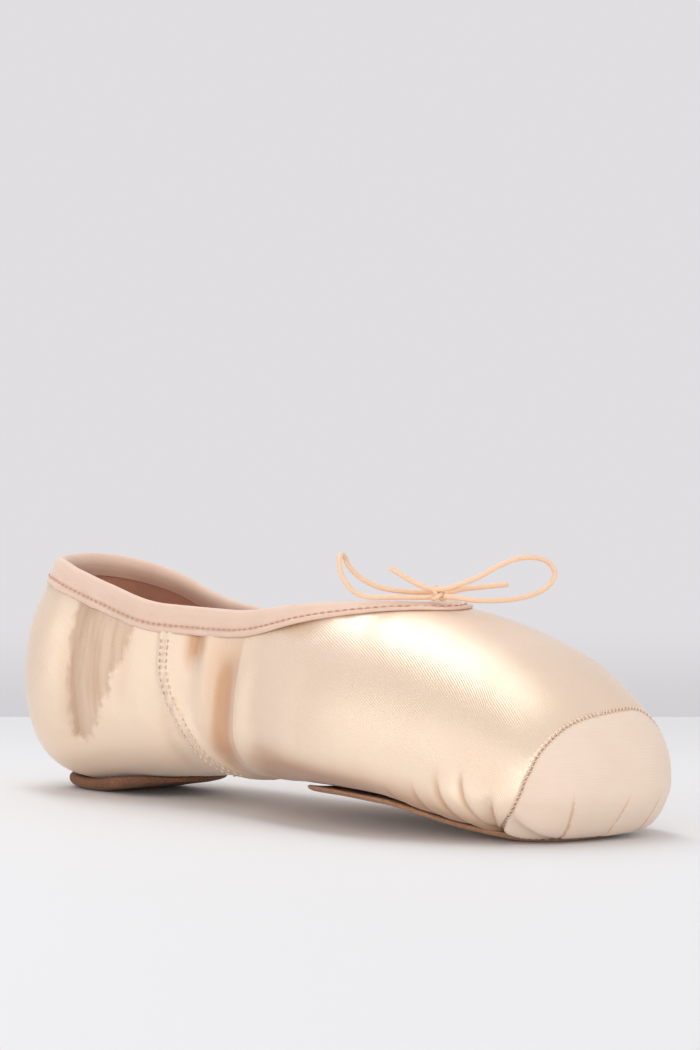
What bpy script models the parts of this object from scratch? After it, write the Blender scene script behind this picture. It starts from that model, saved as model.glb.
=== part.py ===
"""A satin shoe for dancing on the tips of the toes, standing empty and unbent on a floor.

Metres. +X runs from the heel to the toe, +Z is up, and the side seen first faces -Y.
The origin is on the floor, under the middle of the shoe's length.

Every piece is cut from one form, the shape of the last: ribs turn about an upright axis at the heel,
stand side by side along the foot, and close to a pole in the middle of the platform at the toe.
A place on the form is a run, which counts -1 to 0 round the heel, 0 to 1 along the foot and
1 to 2 over the toe, and an angle on its rib, from -90 degrees underneath to 90 degrees on top.
"""
import bmesh
import bpy
import numpy as np

# Driving dimensions
LENGTH = 0.238              # back of the heel to the tip of the toe
HEEL_REACH = 0.1345 * LENGTH    # back of the heel to the axis that its ribs turn about
HEEL_HALF = 0.0284          # half the width at the heel
WAIST_HALF = 0.0268         # half the width at the waist
BALL_HALF = 0.0405          # half the width at the ball
PLATFORM_HALF = 0.0300      # half the width where the toe starts to close
BACK_HEIGHT = 0.0655        # collar's height at the back of the heel
THROAT_HEIGHT = 0.0577      # vamp's height at the throat
BOX_HEIGHT = 0.0410         # height of the box where the toe starts to close
ARCH_RISE = 0.0082          # underside of the arch over the floor
BELLY_HEIGHT = 0.0230       # height at which the sides are widest along the foot
THROAT_AT = 0.700 * LENGTH      # back of the heel to the throat
CLOSE_AT = 0.898 * LENGTH       # back of the heel to where the toe starts to close
POLE_HEIGHT = 0.0160        # height of the platform's middle

WALL = 0.0018               # satin, canvas and lining together
BOX_WALL = 0.0030           # stiffened layers round the toes
PLATFORM_WALL = 0.0055      # stiffened layers under the platform
GAP = 0.0003                # clearance between pieces that touch

CAP_THICK = 0.0011          # patch over the platform
CAP_DEPTH = 0.0085          # tip of the toe to the patch's edge, on top

TAPE_THICK = 0.0010         # folded tape round the collar
TAPE_OUTSIDE = 0.0070       # how far it reaches down the outside
TAPE_INSIDE = 0.0050        # how far it reaches down the inside
TAPE_ROLL = 0.0016          # how far its roll stands over the collar's edge
TAPE_GAP = 0.00045          # clearance between the tape and the bent edge that it wraps

INSOLE_THICK = 0.0017
INSOLE_SPREAD = 0.74        # the insole's share of the inside's width
INSOLE_FRONT = 0.874 * LENGTH   # back of the heel to the insole's front end

SOLE_THICK = 0.0018
SOLE_HALF = 0.0310          # half the forefoot sole's width
SOLE_REAR = 0.538 * LENGTH      # back of the heel to the forefoot sole's rear end
SOLE_FRONT = 0.945 * LENGTH     # back of the heel to its front end
PAD_HALF = 0.0185           # half the heel pad's width
PAD_REAR = 0.037 * LENGTH       # back of the heel to the pad's rear end
PAD_FRONT = 0.269 * LENGTH      # back of the heel to its front end
PAD_THICK = 0.0022          # pad's thickness at the middle of the heel
PAD_LIFT = 0.0042           # how far the pad's front end is off the floor
LAST_MARGIN = 0.0090        # cloth turned in under each sole, from the sole's edge
LEAST_OPEN = 0.25           # narrowest share of the heel pad's own opening that is left open

CORD = 0.0014               # drawstring's diameter
KNOT_RADIUS = 0.0019
CORD_STEP = 2.4             # diameters between a cord's points

CLOSE_POWER_WIDE = 2.6      # roundness of the toe seen from above
CLOSE_POWER_TALL = 2.2      # roundness of the toe seen from the side
HEEL_POWER = 2.08           # roundness of the heel seen from above
THROAT_POWER = 2.2          # roundness of the throat seen from above
THROAT_START = 0.66         # share of THROAT_AT where the throat's curve starts

# Counts of ribs and of points on half a rib
HEEL_RIBS = 8
SIDE_RIBS = 9
THROAT_RIBS = 10
VAMP_RIBS = 7
BOX_RIBS = 3
TOE_RIBS = 7
INSOLE_RIBS = 22
SOLE_RIBS = 20
PAD_RIBS = 9
SHEET_STEPS = 6             # steps from the middle of a sole or insole to its edge
HALF_RIB = (5, 3, 6)        # steps under the belly, across it and over it
BELLY_LOW = np.radians(-30.0)
BELLY_HIGH = np.radians(10.0)

# One row for each section of the form. Station is a share of LENGTH, and the other lengths are
# shares of the sizes that they follow. The powers say how boxy the section is, 2 being an ellipse.
SECTION_COLUMNS = ("station", "half", "under", "widest", "top", "low_power", "high_power")
SECTIONS = (
    (0.13, 1.00 * HEEL_HALF, PAD_THICK + GAP, 1.40 * BELLY_HEIGHT, 1.25 * BACK_HEIGHT, 3.0, 2.35),
    (0.25, 0.97 * HEEL_HALF, 0.66 * ARCH_RISE, 1.22 * BELLY_HEIGHT, 1.26 * BACK_HEIGHT, 2.9, 2.35),
    (0.37, 0.99 * WAIST_HALF, 0.92 * ARCH_RISE, 1.12 * BELLY_HEIGHT, 1.16 * BACK_HEIGHT, 2.55, 2.2),
    (0.49, 1.09 * WAIST_HALF, 1.00 * ARCH_RISE, 1.06 * BELLY_HEIGHT, 1.20 * THROAT_HEIGHT, 2.4, 2.05),
    (0.61, 0.91 * BALL_HALF, 1.01 * ARCH_RISE, 0.99 * BELLY_HEIGHT, 1.06 * THROAT_HEIGHT, 2.55, 2.1),
    (0.73, 1.00 * BALL_HALF, 0.94 * ARCH_RISE, 0.94 * BELLY_HEIGHT, 0.995 * THROAT_HEIGHT, 2.8, 2.15),
    (0.85, 0.90 * BALL_HALF, 0.40 * ARCH_RISE, 0.82 * BELLY_HEIGHT, 1.215 * BOX_HEIGHT, 3.0, 2.3),
    (0.93, 1.02 * PLATFORM_HALF, 0.65 * SOLE_THICK, 0.66 * BELLY_HEIGHT, 1.00 * BOX_HEIGHT, 2.6, 2.35),
    (1.00, 0.95 * PLATFORM_HALF, 0.60 * SOLE_THICK, 0.68 * BELLY_HEIGHT, 0.83 * BOX_HEIGHT, 2.6, 2.45),
)

# The collar's height on each side, with stations as shares of THROAT_AT
COLLAR_COLUMNS = ("station", "near", "far")
COLLAR = (
    (0.00, 1.00 * BACK_HEIGHT, 1.00 * BACK_HEIGHT),
    (0.12, 0.985 * BACK_HEIGHT, 0.925 * BACK_HEIGHT),
    (0.29, 0.905 * BACK_HEIGHT, 0.795 * BACK_HEIGHT),
    (0.46, 0.835 * BACK_HEIGHT, 0.760 * BACK_HEIGHT),
    (0.63, 0.94 * THROAT_HEIGHT, 0.895 * THROAT_HEIGHT),
    (0.80, 0.98 * THROAT_HEIGHT, 0.95 * THROAT_HEIGHT),
    (1.00, 1.00 * THROAT_HEIGHT, 1.00 * THROAT_HEIGHT),
)

# How far the platform patch reaches back from the tip, with the angle in degrees
PATCH_COLUMNS = ("angle", "near", "far")
PATCH = (
    (-90.0, 2.55 * CAP_DEPTH, 2.55 * CAP_DEPTH),
    (-49.0, 2.35 * CAP_DEPTH, 2.40 * CAP_DEPTH),
    (-22.0, 1.52 * CAP_DEPTH, 1.75 * CAP_DEPTH),
    (-2.0, 1.16 * CAP_DEPTH, 1.50 * CAP_DEPTH),
    (14.0, 0.95 * CAP_DEPTH, 1.45 * CAP_DEPTH),
    (45.0, 0.86 * CAP_DEPTH, 1.45 * CAP_DEPTH),
    (75.0, 0.93 * CAP_DEPTH, 1.15 * CAP_DEPTH),
    (90.0, 1.00 * CAP_DEPTH, 1.00 * CAP_DEPTH),
)

# Half widths of the forefoot sole and of the heel pad in front of the heel's axis.
# Stations are shares of each one's own length.
SOLE_COLUMNS = ("station", "half")
SOLE = (
    (0.00, 0.70 * SOLE_HALF),
    (0.20, 0.78 * SOLE_HALF),
    (0.45, 0.96 * SOLE_HALF),
    (0.68, 1.00 * SOLE_HALF),
    (0.85, 0.90 * SOLE_HALF),
    (1.00, 0.72 * SOLE_HALF),
)
PAD = (
    (0.00, 0.97 * PAD_HALF),
    (0.50, 1.00 * PAD_HALF),
    (0.80, 0.90 * PAD_HALF),
    (1.00, 0.74 * PAD_HALF),
)
EDGE_EASE = 0.0008          # how much narrower a sole's underside is than its top, on each side
ROUND_END = 0.0110          # depth of the rounded ends of both soles

# The heel pad's underside over the floor, with stations as shares of PAD_FRONT
LIFT_COLUMNS = ("station", "height")
LIFT = (
    (0.00, 0.00 * PAD_LIFT),
    (0.54, 0.00 * PAD_LIFT),
    (0.65, 0.24 * PAD_LIFT),
    (0.78, 0.52 * PAD_LIFT),
    (0.91, 0.88 * PAD_LIFT),
    (1.00, 1.00 * PAD_LIFT),
)

# Folded tape's outline: depth below the collar's edge, and distance inside the form's surface
TAPE_OUTLINE = (
    (TAPE_OUTSIDE, -TAPE_GAP - TAPE_THICK),
    (0.60 * TAPE_OUTSIDE, -TAPE_GAP - 1.10 * TAPE_THICK),
    (0.20 * TAPE_OUTSIDE, -TAPE_GAP - 1.35 * TAPE_THICK),
    (-0.50 * TAPE_ROLL, -TAPE_GAP - 1.00 * TAPE_THICK),
    (-0.95 * TAPE_ROLL, 0.10 * WALL),
    (-0.95 * TAPE_ROLL, 0.90 * WALL),
    (-0.50 * TAPE_ROLL, WALL + TAPE_GAP + 1.00 * TAPE_THICK),
    (0.25 * TAPE_INSIDE, WALL + TAPE_GAP + 1.35 * TAPE_THICK),
    (TAPE_INSIDE, WALL + TAPE_GAP + TAPE_THICK),
    (TAPE_INSIDE, WALL + TAPE_GAP),
    (0.50 * TAPE_INSIDE, WALL + TAPE_GAP),
    (-TAPE_GAP, WALL + TAPE_GAP),
    (-TAPE_GAP, -TAPE_GAP),
    (0.50 * TAPE_OUTSIDE, -TAPE_GAP),
    (TAPE_OUTSIDE, -TAPE_GAP),
)

# The drawstring's bow: where its knot sits, and the route of each strand out of the knot,
# chosen by hand as steps from the knot's middle
KNOT_PLACE = (0.0024, -0.0032, 0.0035)      # from the top of the throat
STRANDS = {
    "cord_loop_near": (
        (-0.0055, -0.0053, -0.0005), (-0.0105, -0.0103, -0.0007), (-0.0132, -0.0138, -0.0012),
        (-0.0148, -0.0162, 0.0002), (-0.0160, -0.0178, 0.0040), (-0.0172, -0.0183, 0.0080),
        (-0.0188, -0.0170, 0.0098), (-0.0196, -0.0152, 0.0085), (-0.0180, -0.0115, 0.0045),
        (-0.0146, -0.0076, 0.0014), (-0.0098, -0.0036, 0.0003), (-0.0050, -0.0003, 0.0002),
    ),
    "cord_end_near": (
        (-0.0040, -0.0028, 0.0020), (-0.0075, -0.0056, 0.0044), (-0.0105, -0.0084, 0.0069),
    ),
    "cord_loop_far": (
        (0.0052, 0.0002, -0.0006), (0.0086, 0.0052, -0.0016), (0.0106, 0.0115, -0.0018),
        (0.0116, 0.0182, -0.0014), (0.0120, 0.0245, -0.0002), (0.0120, 0.0295, 0.0022),
        (0.0116, 0.0315, 0.0050), (0.0110, 0.0296, 0.0078), (0.0100, 0.0250, 0.0094),
        (0.0088, 0.0196, 0.0090), (0.0075, 0.0144, 0.0070), (0.0062, 0.0096, 0.0038),
        (0.0042, 0.0044, 0.0010),
    ),
    "cord_end_far": (
        (0.0004, 0.0042, 0.0012), (0.0026, 0.0122, 0.0012), (0.0052, 0.0204, 0.0020),
    ),
}
# Direction in which each strand leaves the knot, and in which it comes back
STRAND_WAYS = {
    "cord_loop_near": ((-0.62, -0.74, -0.20), (-0.95, 0.28, 0.02)),
    "cord_end_near": ((-0.72, -0.44, 0.53), None),
    "cord_loop_far": ((0.94, -0.22, -0.20), (0.80, 0.58, 0.12)),
    "cord_end_far": ((0.05, 0.90, 0.42), None),
}

NEAR = -1
FAR = 1


def table(columns, rows):
    """Name each column of a table."""
    return dict(zip(columns, np.array(rows, float).T))


def smooth(stations, values, at):
    """Read a smooth curve through a table's points that never overshoots them.

    It is a cubic between points, and its slope at a point is the harmonic mean of its neighbours'.
    """
    at = np.clip(np.asarray(at, float), stations[0], stations[-1])
    step = np.diff(stations)
    rise = np.diff(values) / step
    slope = np.concatenate([rise[:1], rise[1:], rise[-1:]])
    before, after = rise[:-1], rise[1:]
    same_way = before * after > 0
    ahead = step[:-1] + 2.0 * step[1:]
    behind = 2.0 * step[:-1] + step[1:]
    safe_before = np.where(same_way, before, 1.0)
    safe_after = np.where(same_way, after, 1.0)
    slope[1:-1] = np.where(same_way, (ahead + behind) / (behind / safe_before + ahead / safe_after), 0.0)
    k = np.clip(np.searchsorted(stations, at, side="right") - 1, 0, len(step) - 1)
    t = (at - stations[k]) / step[k]
    start = (1 + 2 * t) * (1 - t) ** 2 * values[k] + t * (1 - t) ** 2 * step[k] * slope[k]
    end = t * t * (3 - 2 * t) * values[k + 1] + t * t * (t - 1) * step[k] * slope[k + 1]
    return start + end


SECTION = table(SECTION_COLUMNS, SECTIONS)
COLLAR_EDGE = table(COLLAR_COLUMNS, COLLAR)
PATCH_EDGE = table(PATCH_COLUMNS, PATCH)
SOLE_EDGE = table(SOLE_COLUMNS, SOLE)
PAD_EDGE = table(SOLE_COLUMNS, PAD)
LIFT_EDGE = table(LIFT_COLUMNS, LIFT)


def run_at(x):
    """Give the run of a distance from the heel's back, in front of the heel's axis."""
    x = np.asarray(x, float)
    along = (x - HEEL_REACH) / (CLOSE_AT - HEEL_REACH)
    over = np.arcsin(np.clip((x - CLOSE_AT) / (LENGTH - CLOSE_AT), 0.0, 1.0)) / (np.pi / 2)
    return np.where(x > CLOSE_AT, 1.0 + over, along)


def rib(run, inset=0.0, tip=0.0):
    """Measure the rib at a run: its turn, its foot on the axis, its half width, heights and powers.

    The toe closes along a rounded quarter in width and in height. An inset makes the rib smaller
    all round, and tip makes the toe shorter.
    """
    run, inset = np.broadcast_arrays(np.asarray(run, float), np.asarray(inset, float))
    turn = np.pi / 2 * (1.0 + np.maximum(-run, 0.0))
    closing = np.sin(np.pi / 2 * np.clip(run - 1.0, 0.0, 1.0))
    foot = HEEL_REACH + np.clip(run, 0.0, 1.0) * (CLOSE_AT - HEEL_REACH)
    foot = foot + (LENGTH - tip - CLOSE_AT) * closing
    half, under, widest, top, low, high = (
        smooth(SECTION["station"] * LENGTH, SECTION[name], foot) for name in SECTION_COLUMNS[1:])
    back = (np.abs(np.cos(turn)) / HEEL_REACH) ** HEEL_POWER
    side = (np.abs(np.sin(turn)) / SECTION["half"][0]) ** HEEL_POWER
    half = np.where(run < 0.0, (back + side) ** (-1.0 / HEEL_POWER), half)
    narrow = np.maximum(1.0 - closing ** CLOSE_POWER_WIDE, 0.0) ** (1.0 / CLOSE_POWER_WIDE)
    flat = np.maximum(1.0 - closing ** CLOSE_POWER_TALL, 0.0) ** (1.0 / CLOSE_POWER_TALL)
    half = (half - inset) * narrow
    under = POLE_HEIGHT + (under + inset - POLE_HEIGHT) * flat
    widest = POLE_HEIGHT + (widest - POLE_HEIGHT) * flat
    top = POLE_HEIGHT + (top - inset - POLE_HEIGHT) * flat
    return turn, foot, half, under, widest, top, low, high


def form(run, angle, side, inset=0.0, tip=0.0):
    """Give points of the form, or of the like form an inset inside it."""
    run, angle, side, inset = np.broadcast_arrays(run, angle, side, inset)
    turn, foot, half, under, widest, top, low, high = rib(run, inset, tip)
    power = np.where(angle < 0.0, low, high)
    across = np.cos(angle)
    up = np.sin(angle)
    reach = half * np.sign(across) * np.abs(across) ** (2.0 / power)
    lift = np.abs(up) ** (2.0 / power)
    height = np.where(angle < 0.0, widest - (widest - under) * lift, widest + (top - widest) * lift)
    x = foot + reach * np.cos(turn) - LENGTH / 2
    y = side * reach * np.sin(turn)
    return np.stack([x, y, height], -1)


def wall_at(run):
    """Thicken the wall smoothly from the soft sides to the stiff box."""
    foot = rib(run)[1]
    share = np.clip((foot - THROAT_AT) / (CLOSE_AT - THROAT_AT), 0.0, 1.0)
    share = share * share * (3.0 - 2.0 * share)
    return WALL + (BOX_WALL - WALL) * share


def collar_angle(run, side):
    """Give the angle at which the collar cuts each rib, 90 degrees where the rib is whole."""
    turn, foot, half, _, widest, top, _, high = rib(run)
    place = foot + half * np.cos(turn)
    column = COLLAR_EDGE["near" if side == NEAR else "far"]
    height = smooth(COLLAR_EDGE["station"] * THROAT_AT, column, place)
    share = np.clip((height - widest) / (top - widest), 0.0, 1.0)
    cut = np.arcsin(share ** (high / 2.0))
    start = THROAT_START * THROAT_AT
    along = np.clip((place - start) / (THROAT_AT - start), 0.0, 1.0)
    width = np.maximum(1.0 - along ** THROAT_POWER, 0.0) ** (1.0 / THROAT_POWER)
    return np.where(place > THROAT_AT - 1e-7, np.pi / 2, np.pi / 2 - (np.pi / 2 - cut) * width)


def spread_angle(run, reach, inset=0.0):
    """Give the angle, under the form, at which a rib is a given distance from its axis."""
    _, _, half, _, _, _, low, _ = rib(run, inset)
    share = np.clip(reach / np.maximum(half, 1e-6), 0.0, 0.98)
    return -np.arccos(share ** (low / 2.0))


def rounded(x, rear, front):
    """Round both ends of an outline that runs from rear to front."""
    from_end = np.minimum(x - rear, front - x) / ROUND_END
    inner = 1.0 - np.clip(from_end, 0.0, 1.0)
    return np.sqrt(np.maximum(1.0 - inner ** 2, 0.0))


def sole_reach(run, margin=0.0):
    """Half width of the forefoot sole at a run, less a margin all round, and 0 outside it."""
    foot = rib(run)[1]
    rear, front = SOLE_REAR + margin, min(SOLE_FRONT - margin, CLOSE_AT if margin else SOLE_FRONT)
    share = (foot - SOLE_REAR) / (SOLE_FRONT - SOLE_REAR)
    half = smooth(SOLE_EDGE["station"], SOLE_EDGE["half"], share) - margin
    return np.where(run < 0.0, 0.0, half * rounded(foot, rear, front))


def pad_reach(run, margin=0.0):
    """Reach of the heel pad from each rib's axis, less a margin all round, and 0 outside it."""
    turn, foot = rib(run)[:2]
    share = (foot - HEEL_REACH) / (PAD_FRONT - HEEL_REACH)
    half = smooth(PAD_EDGE["station"], PAD_EDGE["half"], share) - margin
    back = (np.abs(np.cos(turn)) / (HEEL_REACH - PAD_REAR - margin)) ** HEEL_POWER
    side = (np.abs(np.sin(turn)) / (PAD_EDGE["half"][0] - margin)) ** HEEL_POWER
    rear = (back + side) ** (-1.0 / HEEL_POWER)
    return np.where(run < 0.0, rear, half * rounded(foot, -LENGTH, PAD_FRONT - margin))


def body_runs():
    """List the runs of the ribs from the back of the heel to where the toe starts to close."""
    start = THROAT_START * THROAT_AT
    heel = np.linspace(-1.0, 0.0, HEEL_RIBS, endpoint=False)
    side = np.linspace(HEEL_REACH, start, SIDE_RIBS, endpoint=False)
    quarter = np.linspace(0.0, np.pi / 2, THROAT_RIBS, endpoint=False)
    throat = start + (THROAT_AT - start) * np.sin(quarter)
    vamp = np.linspace(THROAT_AT, CLOSE_AT, VAMP_RIBS)
    return np.concatenate([heel, run_at(np.concatenate([side, throat, vamp]))])


def patch_run(angle, side, clear=0.0):
    """Give the run of the platform patch's edge at an angle."""
    column = PATCH_EDGE["near" if side == NEAR else "far"]
    depth = smooth(np.radians(PATCH_EDGE["angle"]), column, angle)
    return run_at(LENGTH - depth + clear)


def spread(low, high):
    """Spread the angles of half of each rib from low to high, alike on all ribs in its middle."""
    low, high = np.asarray(low, float), np.asarray(high, float)
    corners = [low, np.full_like(low, BELLY_LOW), np.full_like(low, BELLY_HIGH), high]
    rows = []
    for start, end, steps in zip(corners[:-1], corners[1:], HALF_RIB):
        share = np.arange(steps) / steps
        rows.append(start[:, None] + (end - start)[:, None] * share)
    return np.concatenate(rows + [high[:, None]], 1)


def half_grid(runs, low, high):
    """Give the runs and angles of a grid over half of each rib."""
    angle = spread(low, high)
    return np.broadcast_to(runs[:, None], angle.shape), angle


def closed_mesh(name, points, faces, material):
    """Make one object from points and faces, with points that fall together joined."""
    mesh = bpy.data.meshes.new(name)
    build = bmesh.new()
    corners = [build.verts.new(p) for p in points]
    for face in faces:
        build.faces.new([corners[i] for i in face])
    bmesh.ops.remove_doubles(build, verts=build.verts, dist=2e-6)
    bmesh.ops.recalc_face_normals(build, faces=build.faces)
    build.to_mesh(mesh)
    build.free()
    mesh.materials.append(material)
    mesh.shade_smooth()
    mesh.set_sharp_from_angle(angle=np.radians(40.0))
    piece = bpy.data.objects.new(name, mesh)
    bpy.context.collection.objects.link(piece)
    return piece


class Faces:
    """Collect grids of points and the faces between them."""

    def __init__(self):
        self.points = []
        self.faces = []
        self.count = 0

    def grid(self, points):
        """Add a grid of points with a face in each cell, and give the points' numbers."""
        rows, columns = points.shape[:2]
        numbers = self.count + np.arange(rows * columns).reshape(rows, columns)
        self.points.extend(points.reshape(-1, 3).tolist())
        self.count += rows * columns
        self.strip_faces(numbers)
        return numbers

    def strip_faces(self, numbers, keep=None):
        """Add the faces between neighbouring rows and columns of point numbers."""
        a, b = numbers[:-1, :-1], numbers[1:, :-1]
        c, d = numbers[1:, 1:], numbers[:-1, 1:]
        faces = np.stack([a, b, c, d], -1)
        if keep is not None:
            faces = faces[keep]
        self.faces.extend(faces.reshape(-1, 4).tolist())

    def join(self, outer, inner, open_rows=None):
        """Join two edges, where open_rows says which of their points lie on an opening."""
        keep = None
        if open_rows is not None:
            keep = open_rows[:-1] | open_rows[1:]
        self.strip_faces(np.stack([outer, inner], 1), keep)


def toe_grid(side, share, inset, tip, start=None):
    """Give rows over the toe, from the platform patch's edge to the pole or from start to the edge."""
    angle = spread([-np.pi / 2], [np.pi / 2])
    clear = GAP / 2 if start is None else -GAP / 2
    edge = patch_run(angle, side, clear)
    if start is None:
        runs = edge + (2.0 - edge) * share[:, None]
    else:
        runs = start + (edge - start) * share[:, None]
    return form(runs, angle, side, inset, tip)


def make_upper(material):
    """Make the hollow upper: open at the collar and under both soles, stepped under the patch."""
    runs = body_runs()
    shell = Faces()
    wall = wall_at(runs)[:, None]
    under = np.maximum(sole_reach(runs, LAST_MARGIN), pad_reach(runs, LAST_MARGIN))
    under = np.where(under > LEAST_OPEN * (PAD_HALF - LAST_MARGIN), under, 0.0)
    hem = np.where(under > 0.0, spread_angle(runs, under), -np.pi / 2)
    under_open = under > 0.0
    box = np.linspace(0.0, 1.0, BOX_RIBS + 1)[1:]
    toe = np.sin(np.linspace(0.0, np.pi / 2, TOE_RIBS + 1))
    step = CAP_THICK + GAP
    for side in (NEAR, FAR):
        collar = collar_angle(runs, side)
        collar_open = collar < np.pi / 2 - 1e-6
        run_grid, angle = half_grid(runs, hem, collar)
        outside = np.concatenate([
            form(run_grid, angle, side),
            toe_grid(side, box, 0.0, 0.0, start=1.0),
            toe_grid(side, toe, step, step),
        ])
        inside = np.concatenate([
            form(run_grid, angle, side, wall, PLATFORM_WALL),
            toe_grid(side, box, BOX_WALL, PLATFORM_WALL, start=1.0),
            toe_grid(side, toe[1:], BOX_WALL, PLATFORM_WALL),
        ])
        outer = shell.grid(outside)
        inner = shell.grid(inside)
        body = len(runs)
        shell.join(outer[:body, -1], inner[:body, -1], collar_open)
        shell.join(outer[:body, 0], inner[:body, 0], under_open)
    return closed_mesh("upper", shell.points, shell.faces, material)


def make_toe_cap(material):
    """Make the patch over the platform, flush with the upper behind it."""
    shell = Faces()
    share = np.sin(np.linspace(0.0, np.pi / 2, TOE_RIBS + 1))
    for side in (NEAR, FAR):
        outer = shell.grid(toe_grid(side, share, 0.0, 0.0))
        inner = shell.grid(toe_grid(side, share, CAP_THICK, CAP_THICK))
        shell.join(outer[0], inner[0])
    return closed_mesh("toe_cap", shell.points, shell.faces, material)


def collar_frame():
    """Give run, angle and side round the collar's edge, and each place's step down from the edge."""
    runs = body_runs()
    runs = runs[rib(runs)[1] <= THROAT_AT + 1e-7]
    near = collar_angle(runs, NEAR)
    far = collar_angle(runs, FAR)
    run = np.concatenate([runs, runs[-2:0:-1]])
    angle = np.concatenate([near, far[-2:0:-1]])
    side = np.concatenate([np.full(len(near), NEAR), np.full(len(far) - 2, FAR)])
    small = 1e-4
    edge = form(run, angle, side)
    along = np.roll(edge, -1, 0) - np.roll(edge, 1, 0)
    by_run = (form(run + small, angle, side) - form(run - small, angle, side)) / (2 * small)
    by_angle = (form(run, angle + small, side) - form(run, angle - small, side)) / (2 * small)
    out = np.cross(by_run, by_angle)
    out /= np.linalg.norm(out, axis=1, keepdims=True)
    down = np.cross(along, out)
    down /= np.linalg.norm(down, axis=1, keepdims=True)
    upright = np.where(np.abs(down[:, 2]) > np.abs(down[:, 0]), -down[:, 2], down[:, 0])
    down *= np.sign(upright)[:, None]
    grid = np.stack([by_run, by_angle], -1)
    step = np.linalg.solve(np.einsum("kij,kil->kjl", grid, grid), np.einsum("kij,ki->kj", grid, down)[..., None])
    return run, angle, side, step[..., 0]


def make_binding(material):
    """Make the tape folded over the collar's edge."""
    run, angle, side, step = collar_frame()
    outline = np.array(TAPE_OUTLINE)
    depth, inset = outline[:, 0], outline[:, 1]
    points = form(run[:, None] + step[:, :1] * depth, angle[:, None] + step[:, 1:] * depth,
                  side[:, None], inset[None, :])
    ring = Faces()
    points = np.concatenate([points, points[:1]])
    points = np.concatenate([points, points[:, :1]], 1)
    ring.grid(points)
    return closed_mesh("binding", ring.points, ring.faces, material)


def make_sheet(name, runs, reach, top, bottom, material):
    """Make a sheet under the form, between two insets, out to each rib's reach.

    Its underside is a little narrower than its top, which eases its edge.
    """
    sheet = Faces()
    share = np.linspace(0.0, 1.0, SHEET_STEPS + 1)
    for side in (NEAR, FAR):
        edges = []
        for inset, ease in ((top, 0.0), (bottom, EDGE_EASE)):
            edge = spread_angle(runs, np.maximum(reach - ease, 0.0), inset)
            angle = -np.pi / 2 + (edge + np.pi / 2)[:, None] * share
            edges.append(form(np.broadcast_to(runs[:, None], angle.shape), angle, side,
                              np.reshape(inset, (-1, 1))))
        edges[1] = UNDERSIDES[name](edges[1])
        upper = sheet.grid(edges[0])
        lower = sheet.grid(edges[1])
        sheet.join(upper[:, -1], lower[:, -1])
    return closed_mesh(name, sheet.points, sheet.faces, material)


def on_floor(points):
    """Flatten what would reach below the floor into a flat spot on it."""
    points[..., 2] = np.maximum(points[..., 2], 0.0)
    return points


def pad_underside(points):
    """Lay the heel pad's underside flat on the floor at the back, and lift it towards the arch."""
    share = (points[..., 0] + LENGTH / 2) / PAD_FRONT
    points[..., 2] = smooth(LIFT_EDGE["station"], LIFT_EDGE["height"], share)
    return points


def unchanged(points):
    """Leave the underside as the form gives it."""
    return points


UNDERSIDES = {"insole": unchanged, "sole_forefoot": on_floor, "sole_heel": pad_underside}


def rib_runs(rear, front, count):
    """Space ribs between two distances from the heel's back, closer together at both ends."""
    quarter = np.linspace(0.0, np.pi, count)
    return run_at(rear + (front - rear) * (1.0 - np.cos(quarter)) / 2.0)


def make_insole(material):
    """Make the insole, on the cloth that is turned in under the foot."""
    heel = np.linspace(-1.0, 0.0, HEEL_RIBS, endpoint=False)
    runs = np.concatenate([heel, run_at(np.linspace(HEEL_REACH, INSOLE_FRONT, INSOLE_RIBS))])
    wall = wall_at(runs)
    turn, foot, half = rib(runs, wall)[:3]
    reach = INSOLE_SPREAD * half * rounded(foot, -LENGTH, INSOLE_FRONT)
    low = wall + 2 * GAP
    return make_sheet("insole", runs, reach, low + INSOLE_THICK, low, material)


def make_sole_forefoot(material):
    """Make the leather sole under the forefoot, bent with the underside of the box."""
    runs = rib_runs(SOLE_REAR, SOLE_FRONT, SOLE_RIBS)
    reach = sole_reach(runs)
    return make_sheet("sole_forefoot", runs, reach, -GAP, -GAP - SOLE_THICK, material)


def make_sole_heel(material):
    """Make the suede pad under the heel."""
    heel = np.linspace(-1.0, 0.0, HEEL_RIBS, endpoint=False)
    front = HEEL_REACH + (PAD_FRONT - HEEL_REACH) * np.sin(np.linspace(0.0, np.pi / 2, PAD_RIBS))
    runs = np.concatenate([heel, run_at(front)])
    return make_sheet("sole_heel", runs, pad_reach(runs), -GAP, -GAP - PAD_THICK, material)


def knot_middle():
    """Give the middle of the drawstring's knot, on the front of the binding at the throat."""
    throat = form(float(run_at(THROAT_AT)), np.pi / 2, NEAR)
    return throat + np.array(KNOT_PLACE)


def smooth_route(route):
    """Read points CORD_STEP diameters apart from a smooth curve through a strand's route."""
    route = np.array(route, float)
    ends = np.concatenate([[2 * route[0] - route[1]], route, [2 * route[-1] - route[-2]]])
    t = np.linspace(0.0, 1.0, 24, endpoint=False)[:, None]
    dense = []
    for a, b, c, d in zip(ends[:-3], ends[1:-2], ends[2:-1], ends[3:]):
        dense.append(b + 0.5 * t * (c - a) + t ** 2 * (a - 2.5 * b + 2 * c - 0.5 * d)
                     + t ** 3 * (1.5 * b - 0.5 * a - 1.5 * c + 0.5 * d))
    dense = np.concatenate(dense + [route[-1:]])
    length = np.concatenate([[0.0], np.cumsum(np.linalg.norm(np.diff(dense, axis=0), axis=1))])
    count = int(round(length[-1] / (CORD_STEP * CORD))) + 1
    at = np.linspace(0.0, length[-1], count)
    return np.stack([np.interp(at, length, dense[:, k]) for k in range(3)], -1)


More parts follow.
